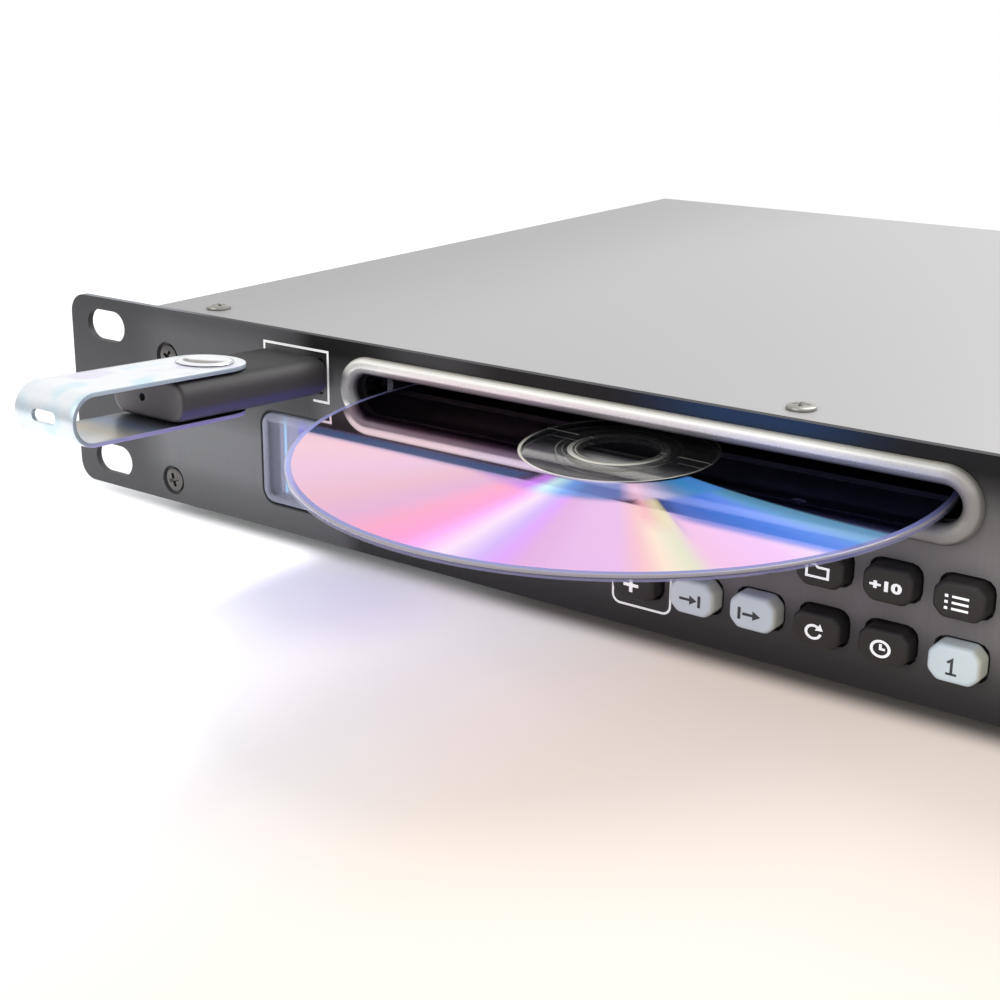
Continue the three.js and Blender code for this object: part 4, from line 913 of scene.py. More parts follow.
def clear_rim(finish, at):
    """Clear rim: a lavender band inside and a dull pink edge outside, whose upper part is more opaque as a
    painted highlight and whose foot is see-through.
    """
    bevel = finish.step(at.radius, 59.55, 59.8)
    lit_edge = finish.step(at.above, 0.6, 0.85)
    return finish.surface(
        base_color=finish.blend(bevel, srgb(168, 172, 246), srgb(214, 204, 216)),
        roughness=0.08 + 0.04 * at.rings, alpha=0.6 + bevel * (0.4 * lit_edge - 0.42), coat_weight=0.4)


def clear_hub(finish, at, hub):
    """Dark see-through plastic with bright moulded rings, their brightness a painted highlight strongest at
    the front, and a thin painted reflection where it mirrors the trim.
    """
    def line(value, centre, width, soft):
        return finish.band(value, centre, width / 2 + soft, width / 2 - soft)

    bright = line(at.radius, hub - 0.25, 0.65, 0.12)
    for radius, width, share in HUB_RINGS:
        bright = finish.most(bright, line(at.radius, radius, width, 0.08) * share)
    # The rings' painted highlight is strongest at the front of the hub
    bright = bright * (0.22 + 0.78 * finish.step(at.inward, 4.0, -9.0))
    trim_reflection = line(at.inward + at.across * 0.05, 2.6, 0.3, 0.15) * finish.step(at.radius, HOLE, HOLE + 0.5)
    trim_reflection = trim_reflection * (1.0 - finish.band(at.radius, 10.0, 1.4, 0.8))
    bright = finish.most(bright, trim_reflection * 0.85)
    return finish.surface(
        base_color=finish.blend(bright, srgb(52, 54, 58), srgb(240, 236, 224)),
        roughness=0.05 + 0.03 * at.rings, alpha=0.36 + 0.56 * bright, coat_weight=0.35)


def disc_mirror(hub, rim):
    """Mirror with painted diffraction colours that fan out from the hub, under clear plastic with a clear hub
    and rim.
    """
    finish = Finish("disc_mirror")
    at = DiscPlace(finish)
    outer, inner = mirror_tints(finish, at)
    share, tinted = glow(finish, at, inner, hub)
    lit = finish.node("MixShader", None, {0: share, 1: foil(finish, at, outer, inner), 2: tinted})
    clear = finish.node("MixShader", None, {
        0: finish.step(at.radius, hub + 5, hub + 6), 1: clear_hub(finish, at, hub), 2: clear_rim(finish, at)})
    outside = finish.most(
        finish.step(at.radius, hub + 0.1, hub - 0.1), finish.step(at.radius, rim - 0.1, rim + 0.1))
    return finish.done(finish.node("MixShader", None, {0: outside, 1: lit, 2: clear}))


# Memory stick: it stands in the port with a slight tilt. CAP_PIN and CAP_BEND are Y along it, from the panel.

STICK_TILT = math.radians(3.45)
STICK_PIVOT = micron((middle("stick_plug").x, 6.0, 13.8))
CAP_PIN = -26.2
CAP_BEND = -60.8


def on_stick(x, y, z):
    """A point of the stick's own frame, in millimetres from the panel, as a point of the part."""
    c, s = math.cos(STICK_TILT), math.sin(STICK_TILT)
    back = y - STICK_PIVOT.y
    return (STICK_PIVOT.x + x, STICK_PIVOT.y + back * c + z * s, STICK_PIVOT.z - back * s + z * c)


def stick_plastic():
    """Black plastic with painted light on its right side and front end, and a violet painted reflection low
    on the right.
    """
    finish = Finish("stick_plastic")
    grain = finish.grain(2.2)
    across, along, up = finish.facing()
    right = finish.step(across, 0.3, 0.9)
    base = finish.layers(
        finish.blend(grain, srgb(24, 23, 23), srgb(40, 38, 37)),
        # Painted light on the right side, a violet painted reflection low on it, and a painted highlight on
        # the front end
        (right * 0.75, srgb(76, 73, 75)),
        (right * finish.step(up, 0.05, -0.4) * 0.6, srgb(88, 84, 140)),
        (finish.step(along, -0.5, -0.95) * 0.85, srgb(120, 115, 116)))
    return finish.done(finish.surface(
        base_color=base, roughness=0.5 + 0.12 * grain, specular_ior_level=0.3,
        normal=finish.bump(grain, 0.25)))


def cap_metal():
    """Bright sheet with faint cyan and lavender painted reflections, painted shade and reflections on the
    inner side of its lower arm, tinted painted reflections on its right sides and painted shade round its
    bend.
    """
    finish = Finish("cap_metal")
    _, y, z = finish.axes(finish.place())
    right, _, up = finish.facing()
    grain = finish.noise((1.2, 0.12, 1.2), 4.0, 0.6)
    cloud = finish.noise((0.09, 0.05, 0.09), 2.0)
    lower = finish.step(z, STICK_PIVOT.z + 1.5, STICK_PIVOT.z - 1.5)
    bend = finish.step(y, CAP_BEND + 1, CAP_BEND - 4)
    # Painted shade and reflections on the inner side of the lower arm, from the bend towards the pin
    inner = finish.ramp(
        finish.step(y, CAP_BEND - 5, CAP_PIN + 8),
        (0.0, srgb(236, 238, 240)), (0.14, srgb(196, 176, 146)), (0.24, srgb(150, 150, 146)),
        (0.34, srgb(96, 120, 156)), (0.46, srgb(84, 86, 94)), (0.7, srgb(60, 58, 62)))
    base = finish.layers(
        srgb(244, 246, 248),
        # Painted reflections: faint cyan and lavender patches
        (finish.step(cloud, 0.5, 0.62) * 0.7, srgb(196, 232, 246)),
        (finish.step(cloud, 0.46, 0.36) * 0.6, srgb(222, 214, 238)),
        (lower * finish.step(up, 0.4, 0.8), inner),
        # Tinted painted reflections on the sides that face right
        (finish.step(right, 0.4, 0.8) * 0.8, finish.blend(lower, srgb(196, 220, 232), srgb(184, 174, 250))),
        # Painted shade round the bend
        (bend * finish.step(up, 0.75, 0.3) * 0.6, srgb(150, 160, 168)),
        (grain * 0.1, srgb(120, 122, 126)))
    return finish.done(finish.surface(
        base_color=base, metallic=0.55, roughness=0.26 + 0.1 * grain, normal=finish.bump(grain, 0.08)))


def pin_metal():
    """Shallow bright dish with a grey-brown half."""
    finish = Finish("pin_metal")
    x, y, _ = finish.axes(finish.place())
    across = x - STICK_PIVOT.x
    along = y - CAP_PIN
    radius = finish.length(across, along)
    grain = finish.grain(0.8, 3.0)
    slant = along - across * 0.6 + grain
    dull = finish.step(radius, 4.4, 3.6) * finish.step(slant, 2.8, 0.6) * finish.step(slant, -3.6, -1.6)
    base = finish.layers(
        srgb(240, 241, 242),
        (dull, srgb(104, 95, 88)),
        (finish.step(radius, 5.3, 5.6), srgb(190, 196, 200)))
    return finish.done(finish.surface(base_color=base, metallic=0.5, roughness=0.2 + 0.06 * grain))


# Operators

# Camera of the photo: azimuth, elevation and roll in degrees, its place in millimetres and its lens
CAMERA_TURN = (38.23679775, 17.24589876, -0.14379685)
CAMERA_PLACE = Vector((63.44842, -248.37490, 96.03530))
CAMERA_LENS = {
    "sensor_width": 36, "lens": 60.504, "shift_x": 0.0583744, "shift_y": -0.0215384, "clip_start": 0.01,
    "clip_end": 50}
LIGHT_SIZE = (900, 700)
FLOOR_REACH = 6
FLOOR_TRUE = (0.86, 0.86, 0.87, 1.0)
FLOOR_SHADE = (0.49, 0.46, 0.44)
LIFT_COOL = (0.97, 0.96, 1.0, 1.0)
LIFT_WARM = (1.0, 0.86, 0.73, 1.0)
VIOLET_SHADOW = (0.3, 0.26, 0.9, 1.0)
SKY_TINT = (0.96, 0.98, 1.0, 1.0)


def seen_rays(finish):
    """1 for the camera's rays and for those of gloss and glass, which see the floor and sky as white."""
    seen = finish.node("LightPath", output="Is Camera Ray")
    outputs = seen.socket.node.outputs
    for label in ("Is Glossy Ray", "Is Transmission Ray"):
        seen = finish.most(seen, Wire(finish, outputs[label]))
    return seen


class PLAYER_OT_stage(bpy.types.Operator):
    """Camera, floor, sky and soft lights"""
    bl_idname = "disc_player.stage"
    bl_label = "Stage"

    def execute(self, context):
        chosen = context.scene.disc_player_stage
        self.camera(context)
        self.floor(chosen)
        self.sky(context, chosen)
        self.light("key_light", (150, 700, 760), (-60, 30, 0), chosen.key_energy)
        self.light("fill_light", (-420, -900, 520), (-80, 0, 0), chosen.fill_energy)
        context.scene.view_settings.view_transform = "Standard"
        return {"FINISHED"}

    def camera(self, context):
        azimuth, elevation, roll = (math.radians(angle) for angle in CAMERA_TURN)
        level = math.cos(elevation)
        ahead = Vector((-math.sin(azimuth) * level, math.cos(azimuth) * level, -math.sin(elevation)))
        right = Vector((math.cos(azimuth), math.sin(azimuth), 0))
        down = ahead.cross(right)
        across = right * math.cos(roll) - down * math.sin(roll)
        up = -(right * math.sin(roll) + down * math.cos(roll))
        data = bpy.data.cameras.new("camera")
        for key, value in CAMERA_LENS.items():
            setattr(data, key, value)
        made = linked("camera", data)
        turned = Matrix((across, up, -ahead)).transposed().to_4x4()
        made.matrix_world = Matrix.Translation(CAMERA_PLACE * MM) @ turned
        context.scene.camera = made

    def light(self, name, place, target, energy):
        data = bpy.data.lights.new(name, "AREA")
        data.shape = "RECTANGLE"
        data.size, data.size_y = (size * MM for size in LIGHT_SIZE)
        data.energy = energy
        start = Vector(place) * MM
        turned = (Vector(target) * MM - start).to_track_quat("-Z", "Y").to_matrix().to_4x4()
        linked(name, data).matrix_world = Matrix.Translation(start) @ turned

    def floor(self, chosen):
        """Pale floor that keeps the shadow, glows softly in front of the part and is white far off."""
        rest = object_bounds()[0][2]
        mesh = bpy.data.meshes.new("floor")
        corners = [(-1, -1), (1, -1), (1, 1), (-1, 1)]
        mesh.from_pydata([(x * FLOOR_REACH, y * FLOOR_REACH, rest) for x, y in corners], [], [(0, 1, 2, 3)])
        finish = Finish("floor_white")
        seen = seen_rays(finish)
        x, y, _ = finish.axes(finish.place())
        # Painted light and painted shadow on the floor: painted light left of the stick, a warm tint and a
        # painted shadow right of the disc's left edge, and a violet painted shadow under that edge
        stick, disc = low("stick_body").x, low("disc").x
        left = finish.step(x, stick + 20, stick + 6)
        right = finish.step(x, disc + 12, disc + 44)
        warm = finish.step(x, disc + 34, disc + 84)
        violet_place = Vector((disc + 0.8, -18))
        violet = finish.step(finish.length(x - violet_place.x, y - violet_place.y), 34, 6)
        gain = finish.blend(
            right * finish.step(y, 70, 8), dimmed(WHITE, chosen.floor_gain),
            dimmed(FLOOR_SHADE, chosen.floor_gain))
        lit = finish.node("BsdfDiffuse", None, {"Color": finish.blend(seen, FLOOR_TRUE, gain)})
        tint = finish.layers(LIFT_COOL, (warm, LIFT_WARM), (violet * 0.5, VIOLET_SHADOW))
        strength = chosen.floor_lift * (1.0 + 2.2 * left + 0.45 * right - 0.16 * violet)
        in_front = finish.step(y, *chosen.lift_band)
        lift = finish.node("Emission", None, {"Color": tint, "Strength": seen * in_front * strength})
        near = finish.node("AddShader", None, {0: lit, 1: lift})
        white = finish.node("Emission", None, {"Color": WHITE, "Strength": 1.0})
        away = finish.node("VectorMath", {"operation": "DISTANCE"}, {
            0: finish.place(), 1: (middle("disc").x, 0, rest / MM)}, "Value")
        far = finish.step(away, chosen.floor_near / MM, chosen.floor_far / MM)
        coated(mesh, finish.done(finish.node("MixShader", None, {0: seen * far, 1: near, 2: white})))
        linked("floor", mesh)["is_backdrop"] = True

    def sky(self, context, chosen):
        finish = Finish("sky", "worlds")
        context.scene.world = finish.owner
        soft = finish.node("Background", None, {"Color": SKY_TINT, "Strength": chosen.sky_level})
        white = finish.node("Background", None, {"Color": WHITE, "Strength": 1.0})
        finish.node("OutputWorld", None, {
            "Surface": finish.node("MixShader", None, {0: seen_rays(finish), 1: soft, 2: white})})


def dress(material, *names):
    """Gives CAD nodes that keep their shape a finished material."""
    for name in names:
        coated(NODES[name].data, material)


class PLAYER_OT_case(bpy.types.Operator):
    """Paint, plating and rubber on the solids that keep their shape"""
    bl_idname = "disc_player.case"
    bl_label = "Case finishes"

    def execute(self, context):
        paint = context.scene.disc_player_paint
        dress(panel_paint(tuple(paint.panel), tuple(paint.panel_sheen)), "front_panel")
        dress(cover_paint(tuple(paint.cover), tuple(paint.cover_light)), "top_cover")
        dress(metal("zinc_plate", srgb(196, 198, 196), 0.4, 1.0),
              "chassis_tray", "drive_frame", "traverse_frame")
        dress(plastic("black_sheet", srgb(30, 30, 32), 0.6, 2.0, 0.2), "drive_lid")
        dress(plastic("foot_rubber", srgb(34, 34, 35), 0.8, 1.5, 0.4),
              "foot_front_left", "foot_rear_left", "foot_front_right", "foot_rear_right", "loading_roller")
        dress(plastic("dust_felt", srgb(24, 24, 26), 0.95, 4.0, 0.8), "slot_felt")
        dress(board_green(), "control_board", "main_board", "power_supply")
        dress(display_glass(), "lcd_module")
        dress(plastic("moulded_black", srgb(36, 36, 38), 0.5, 2.0, 0.3),
              "mains_inlet", "power_rocker", "audio_jacks", "turntable")
        dress(plastic("moulded_grey", srgb(92, 94, 98), 0.55, 2.0, 0.3), "laser_sled")
        dress(plastic("gear_white", srgb(226, 222, 208), 0.45, 2.0, 0.15), "roller_gear", "motor_pinion")
        dress(metal("nickel_plate", srgb(214, 212, 206), 0.25),
              "usb_socket", "stick_plug", "load_motor", "spindle_motor", "sled_rod_left", "sled_rod_right")
        return {"FINISHED"}


# Crest of the slot trim: shares of the way from its outer to its inner edge, and of how far it stands proud
TRIM_CREST = (
    (0.0, 0.28), (0.012, 0.45), (0.05, 0.66), (0.11, 0.84), (0.19, 0.95), (0.28, 0.99), (0.4, 1.0),
    (0.55, 0.985), (0.68, 0.93), (0.78, 0.83), (0.86, 0.68), (0.92, 0.5), (0.97, 0.3), (1.0, 0.16))


class PLAYER_OT_trim(bpy.types.Operator):
    """Cast silver trim round the disc slot"""
    bl_idname = "disc_player.trim"
    bl_label = "Slot trim"

    def execute(self, context):
        chosen = context.scene.disc_player_trim
        centre, back = middle("slot_bezel"), high("slot_bezel").y
        proud = chosen.proud / MM
        seat = -0.1
        outer = span("slot_bezel").z / 2
        inner = outer - TRIM_LIP
        reach = span("slot_bezel").x / 2 - outer
        section = [(outer, seat)]
        section += [(outer - TRIM_LIP * share, -proud * height) for share, height in TRIM_CREST]
        section += [(inner, back), (inner + TRIM_WALL, back), (inner + TRIM_WALL, seat)]
        rings = []
        for side, first in ((1, -math.pi / 2), (-1, math.pi / 2)):
            for i in range(chosen.steps + 1):
                angle = first + math.pi * i / chosen.steps
                x, c, s = centre.x + side * reach, math.cos(angle), math.sin(angle)
                rings.append([(x + r * c, y, centre.z + r * s) for r, y in section])
        shape = skin(rings, looped=True)
        piece("slot_trim", *shape, "chassis", "cast_silver", satin_cast(), ["slot_bezel"], 50)
        return {"FINISHED"}


class PLAYER_OT_lens(bpy.types.Operator):
    """Clear display window with a bevelled edge"""
    bl_idname = "disc_player.lens"
    bl_label = "Display window"

    def execute(self, context):
        front, back, centre = low("display_window").y, high("display_window").y, middle("display_window")
        width, height = span("display_window").x - 2 * LENS_LIP, span("display_window").z - 2 * LENS_LIP
        lip_front = back - 1.0
        # How far each outline reaches past the window's hole, and its depth
        outlines = (
            (LENS_LIP, back), (LENS_LIP, lip_front), (0.0, lip_front), (0.0, -0.05), (-0.12, -0.22),
            (-0.9, -0.46), (-1.15, front))
        rings = []
        for grow, depth in outlines:
            corner = LENS_CORNER + min(0, grow)
            outline = rounded(width + 2 * grow, height + 2 * grow, corner, centre.x, centre.z, 8)
            rings.append(upright(outline, depth))
        piece("display_lens", *skin(rings), "chassis", "clear_lens", clear_lens(), ["display_window"], 20)
        return {"FINISHED"}


def number_shape(text, size, stretch=1.0, a=0.0, b=0.0):
    """Outlines of a plain number or sign in the built-in font, stretched sideways and centred on (a, b)."""
    curve = bpy.data.curves.new("number", "FONT")
    curve.body = text
    curve.size = size
    curve.offset = size * 0.045
    curve.resolution_u = 3
    curve.align_x = "CENTER"
    curve.align_y = "CENTER"
    made = linked("number", curve)
    graph = bpy.context.evaluated_depsgraph_get()
    mesh = bpy.data.meshes.new_from_object(made.evaluated_get(graph))
    flat = [(a + v.co.x * stretch, b + v.co.y) for v in mesh.vertices]
    faces = [tuple(p.vertices) for p in mesh.polygons]
    bpy.data.objects.remove(made)
    bpy.data.curves.remove(curve)
    bpy.data.meshes.remove(mesh)
    return flat, faces


def key_legends():
    """Signs for the keys, as flat shapes in millimetres about the key's middle."""
    fine, medium, bold, bar = 0.5, 0.62, 0.9, 0.75
    rows = (-1.3, 0, 1.3)

    def line(*points, width=fine, closed=False):
        return ribbon(points, width, closed)

    def post(x, reach, width=medium):
        return ribbon([(x, -reach), (x, reach)], width)

    def rail(start, end, z=0, width=medium):
        return ribbon([(start, z), (end, z)], width)

    def ring(radius, width=0.55):
        return ribbon(arc(0, 0, radius, 0, 2 * math.pi, 24)[:-1], width, True)

    def wedge(x, side, size):
        return blob([(x, size), (x, -size), (x + side * size * 1.5, 0)][::side])

    def turning_arrow(radius, start, end):
        """Open ring with an arrow head before its start."""
        angle = math.radians(start - 2)
        tangent = Vector((math.sin(angle), -math.cos(angle)))
        outward = Vector((math.cos(angle), math.sin(angle)))
        tip, half = 1.3, 0.95
        centre = outward * radius
        bow = ribbon(arc(0, 0, radius, math.radians(start), math.radians(end), 24), 0.55)
        head = [centre + tangent * tip, centre + outward * half, centre - outward * half]
        return [bow, blob([tuple(point) for point in head])]

    return {
        "plus_button": [rail(-1.7, -bar / 2, 0, bar), rail(bar / 2, 1.7, 0, bar), post(0, 1.7, bar)],
        "minus_button": [rail(-1.7, 1.7, 0, bar)],
        "loop_in_button": [rail(-2.1, 0.1), wedge(0.1, 1, 1.1), post(2.2, 1.4)],
        "loop_out_button": [post(-2.2, 1.4), rail(-1.5, 0.6), wedge(0.6, 1, 1.1)],
        "loop_button": turning_arrow(1.45, 60, 350),
        "time_button": [ring(1.7), line((0, 1.1), (0, 0), (0.9, 0))],
        "single_button": [line((-0.7, 0.8), (0.1, 1.5), (0.1, -1.6)), rail(-0.9, 1.1, -1.6, fine)],
        "previous_button": [post(-2.0, 1.2), wedge(0.2, -1, 1.2), wedge(2.2, -1, 1.2)],
        "next_button": [post(2.0, 1.2), wedge(-0.2, 1, 1.2), wedge(-2.2, 1, 1.2)],
        "folder_button": [line(
            (-2.1, -1.3), (2.1, -1.3), (2.1, 0.9), (0.1, 0.9), (-0.5, 1.5), (-2.1, 1.5), closed=True)],
        "plus_ten_button": [number_shape("+10", 2.9, 1.32)],
        "program_button": [rail(-0.9, 2.1, z, fine) for z in rows] + [rail(-2.2, -1.6, z, 0.6) for z in rows],
        "eject_button": [blob([(-1.8, -0.3), (1.8, -0.3), (0, 1.7)]), rail(-1.8, 1.8, -1.2)],
        "play_button": [wedge(-3.2, 1, 1.8), post(1.2, 1.8, bold), post(2.9, 1.8, bold)],
        "cue_button": [ring(1.9, 0.8)],
    }


LARGE_KEYS = ("eject_button", "play_button", "cue_button")


class PLAYER_OT_keys(bpy.types.Operator):
    """Rubber keys with cut corners, each with its sign"""
    bl_idname = "disc_player.keys"
    bl_label = "Keys"

    def execute(self, context):
        flange, paint = context.scene.disc_player_keys.flange / MM, context.scene.disc_player_paint
        dark = plastic("key_rubber", tuple(paint.key_black), 0.55, 2.6, 0.35)
        pale = pale_silicone(tuple(paint.key_pale))
        # The white print glows a little, a painted light
        white = ink("white_print", tuple(paint.legend), 0.4)
        grey = ink("grey_print", srgb(66, 68, 70))
        legends = key_legends()
        slots = {part["node"]: part["material_slot"] for part in frame["record"]["subparts"]}
        for body, members in frame["record"]["behaviour"]["bodies"].items():
            node = members[0]
            if not node.endswith("_button"):
                continue
            light = slots[node] == "pale_key"
            self.cap(node, body, slots[node], pale if light else dark, flange)
            self.sign(node, body, slots[node], grey if light else white, legends[node])
        return {"FINISHED"}

    def sign(self, node, body, slot, material, shapes):
        """The key's sign, a little smaller and off its middle on a small key."""
        centre = middle(node)
        wide, tall, shift = (1.0, 1.0, 0.0) if node in LARGE_KEYS else (0.92, 0.92 * 0.86, 0.25)
        moved = [
            ([(x * wide + centre.x - shift, z * tall + centre.z - shift) for x, z in flat], faces)
            for flat, faces in shapes]
        piece(node.replace("_button", "_sign"), *printed(moved, low(node).y), body, slot, material)

    def cap(self, node, body, slot, material, flange):
        """Cap with a broad soft shoulder, and the flange and plunger behind the panel."""
        front, end, centre = low(node).y, high(node).y, middle(node)
        width, height = span(node).x - 2 * flange, span(node).z - 2 * flange
        cut, shoulder = height * 0.25, height * 0.2
        soft = cut * 0.8
        back = end - 0.7
        thick, plunger = 1.0, 1.5
        # How far each outline stands in from the key's sides, its cut and softness, and its depth
        rows = [(-flange, cut, soft, back), (-flange, cut, soft, back - thick), (0, cut, soft, back - thick)]
        for angle in (0, 12, 25, 40, 55, 70, 82, 90):
            lean = math.radians(angle)
            inset = shoulder * (1 - math.cos(lean)) * 0.62
            deep = shoulder * (1 - math.sin(lean) * 0.97) * 0.85
            rows.append((inset, cut - inset * 0.3, soft, front + deep))
        for inset, share in ((1.0, 0.7), (1.44, 0.45)):
            rows.append((shoulder * inset, cut * share, soft * share, front))
        rings = [
            upright(clipped(width - 2 * inset, height - 2 * inset, tip, bend, centre.x, centre.z), y)
            for inset, tip, bend, y in rows]
        post_end = back - thick / 2
        post = lathe([(0.0, end), (plunger, end), (plunger, post_end), (0.0, post_end)], 16, about(centre))
        shape = joined(skin(rings), post)
        piece(node.replace("_button", "_key_cap"), *shape, body, slot, material, [node], 30)


class PLAYER_OT_prints(bpy.types.Operator):
    """White lines printed on the front panel"""
    bl_idname = "disc_player.prints"
    bl_label = "Panel prints"

    def execute(self, context):
        # The panel print glows a little, a painted light
        white = ink("panel_print", tuple(context.scene.disc_player_paint.legend), 0.3)
        shapes = [self.port_frame(), self.key_frame()] + self.fader_scale() + self.knob_scale()
        piece("panel_lines", *printed(shapes, 0.0, 0.04), "chassis", "panel_paint", white)
        return {"FINISHED"}

    def port_frame(self):
        """Frame round the port, open in the middle of its lower side."""
        x, z = STICK_PIVOT.x - 0.05, STICK_PIVOT.z
        wide, tall, foot = 8.9, 5.35, 4.25
        corners = [
            (foot - wide, -tall), (-wide, -tall), (-wide, tall), (wide, tall), (wide, -tall),
            (wide - foot, -tall)]
        return ribbon([(x + a, z + b) for a, b in corners], 0.5)

    def key_frame(self):
        """Frame round the plus and minus keys."""
        foot, top = low("plus_button").z - 1.4, high("minus_button").z + 1.2
        width, corner = 12.2, 1.6
        outline = rounded(width, top - foot, corner, middle("plus_button").x - 0.1, (foot + top) / 2, 5)
        return ribbon(outline, 0.42, closed=True)

    def fader_scale(self):
        """Ticks above and below the fader's slot, and a sign at each end."""
        fader, pitch, gap, sign_gap, sign_size = middle("pitch_fader"), 5, 9.2, 33.5, 5.0
        shapes = []
        for i in range(-5, 6):
            tall = 2.4 if i % 5 == 0 else 1.5
            x = fader.x + i * pitch
            for side in (1, -1):
                start = fader.z + side * gap
                shapes.append(ribbon([(x, start), (x, start + side * tall)], 0.4))
        shapes.append(number_shape("+", sign_size, 1.0, fader.x + sign_gap, fader.z))
        shapes.append(number_shape("-", sign_size, 1.0, fader.x - sign_gap, fader.z))
        return shapes

    def knob_scale(self):
        """Ticks round the knob, every other one longer."""
        knob, ticks, inner = middle("jog_knob"), 24, 19.0
        shapes = []
        for i in range(ticks):
            angle = 2 * math.pi * i / ticks
            c, s = math.cos(angle), math.sin(angle)
            ends = (inner, 20.6 if i % 2 else 21.2)
            shapes.append(ribbon([(knob.x + r * c, knob.z + r * s) for r in ends], 0.4))
        return shapes


class PLAYER_OT_screws(bpy.types.Operator):
    """Cross-head screws of the panel and the cover"""
    bl_idname = "disc_player.screws"
    bl_label = "Screws"
    RADIUS = 2.7
    PANEL_HEAD = 0.75
    COVER_HEAD = 0.8
    SPIN = 0.7

    def execute(self, context):
        panel = [name for name in NODES if name.startswith("panel_screw")]
        cover = [name for name in NODES if name.startswith("cover_screw")]
        dark = metal("dark_plate", srgb(86, 84, 82), 0.3)
        bright = metal("bright_plate", srgb(158, 156, 150), 0.3)
        front = [(middle(name).x, low(name).y + self.PANEL_HEAD, middle(name).z) for name in panel]
        top = [(middle(name).x, middle(name).y, high(name).z - self.COVER_HEAD) for name in cover]
        panel_head, cover_head = self.head(self.PANEL_HEAD, 0.5), self.head(self.COVER_HEAD, 0.3)
        facing_front = (math.pi / 2, 0, 0)
        self.heads("panel_screws", front, panel_head, dark, facing_front, panel, "dark_screw")
        self.heads("cover_screws", top, cover_head, bright, (0, 0, 0), cover, "bright_screw")
        return {"FINISHED"}

    def head(self, height, edge):
        """Domed head with a shank and a cross cut into it. Edge is its side's share of the height."""
        radius, shank, shank_end = self.RADIUS, self.RADIUS * 0.44, -2.0
        profile = [(0.0, height)]
        for share in (0.25, 0.45, 0.62, 0.78, 0.9, 0.97):
            profile.append((radius * share, height * (edge + (1 - edge) * math.sqrt(1 - share ** 2 * 0.92))))
        profile += [(radius, height * edge * 0.8), (radius, 0.0), (shank, 0.0)]
        profile += [(shank, shank_end), (0.0, shank_end)]
        made = shape_object("head", *lathe(profile, 36, lambda x, y, z: (x, y, z)))
        arm, half = radius * 0.7, radius * 0.17
        deep, narrowed = 0.62, 0.6
        tools = []
        for along, across in ((arm, half), (half, arm)):
            rings = [
                [(along * share * a, across * share * b, z) for a, b in ((1, 1), (-1, 1), (-1, -1), (1, -1))]
                for share, z in ((narrowed, height - deep), (1.0, height + 0.3))]
            tools.append(shape_object("cross", *skin(rings)))
        carve(made, *tools)
        return made

    def heads(self, name, places, head, material, turned, replaced, slot):
        """One turned head on each place, each spun a little on its own axis."""
        garden = Garden(name + "_tree", {"Spin Seed": 4})
        on_points = garden.node("GeometryNodeMeshToPoints", None, {"Mesh": garden.start.outputs[0]})
        spin = garden.node("FunctionNodeRandomValue", {"data_type": "FLOAT"}, {
            2: -self.SPIN, 3: self.SPIN, "Seed": garden.size("Spin Seed")})
        axis = garden.node("ShaderNodeCombineXYZ", None, {2: spin.outputs[1]})
        turn = garden.node("GeometryNodeRotateInstances", None, {
            "Instances": garden.copies(head, on_points.outputs[0], turned), "Rotation": axis.outputs[0],
            "Local Space": True})
        made = garden.grow(name, turn.outputs[0], material, head, places)
        finish_piece(made, "chassis", slot, material, replaced, 30)


class PLAYER_OT_disc(bpy.types.Operator):
    """Disc half out of the slot"""
    bl_idname = "disc_player.disc"
    bl_label = "Disc"

    def execute(self, context):
        chosen = context.scene.disc_player_disc
        material = disc_mirror(chosen.hub / MM, chosen.rim / MM)
        shape = lathe(DISC_PROFILE, chosen.sides, on_disc)
        piece("loaded_disc", *shape, "disc_body", "disc_mirror", material, ["disc"], 30)
        return {"FINISHED"}


# Upper half of the rivet through the stick's cap: radius and height, out to its rim and back underneath
RIVET = (
    (0.0, 5.16), (3.0, 5.16), (3.5, 5.2), (3.9, 5.34), (4.3, 5.5), (4.7, 5.56), (5.1, 5.52), (5.4, 5.42),
    (5.62, 5.28), (5.7, 5.2), (2.0, 5.18))


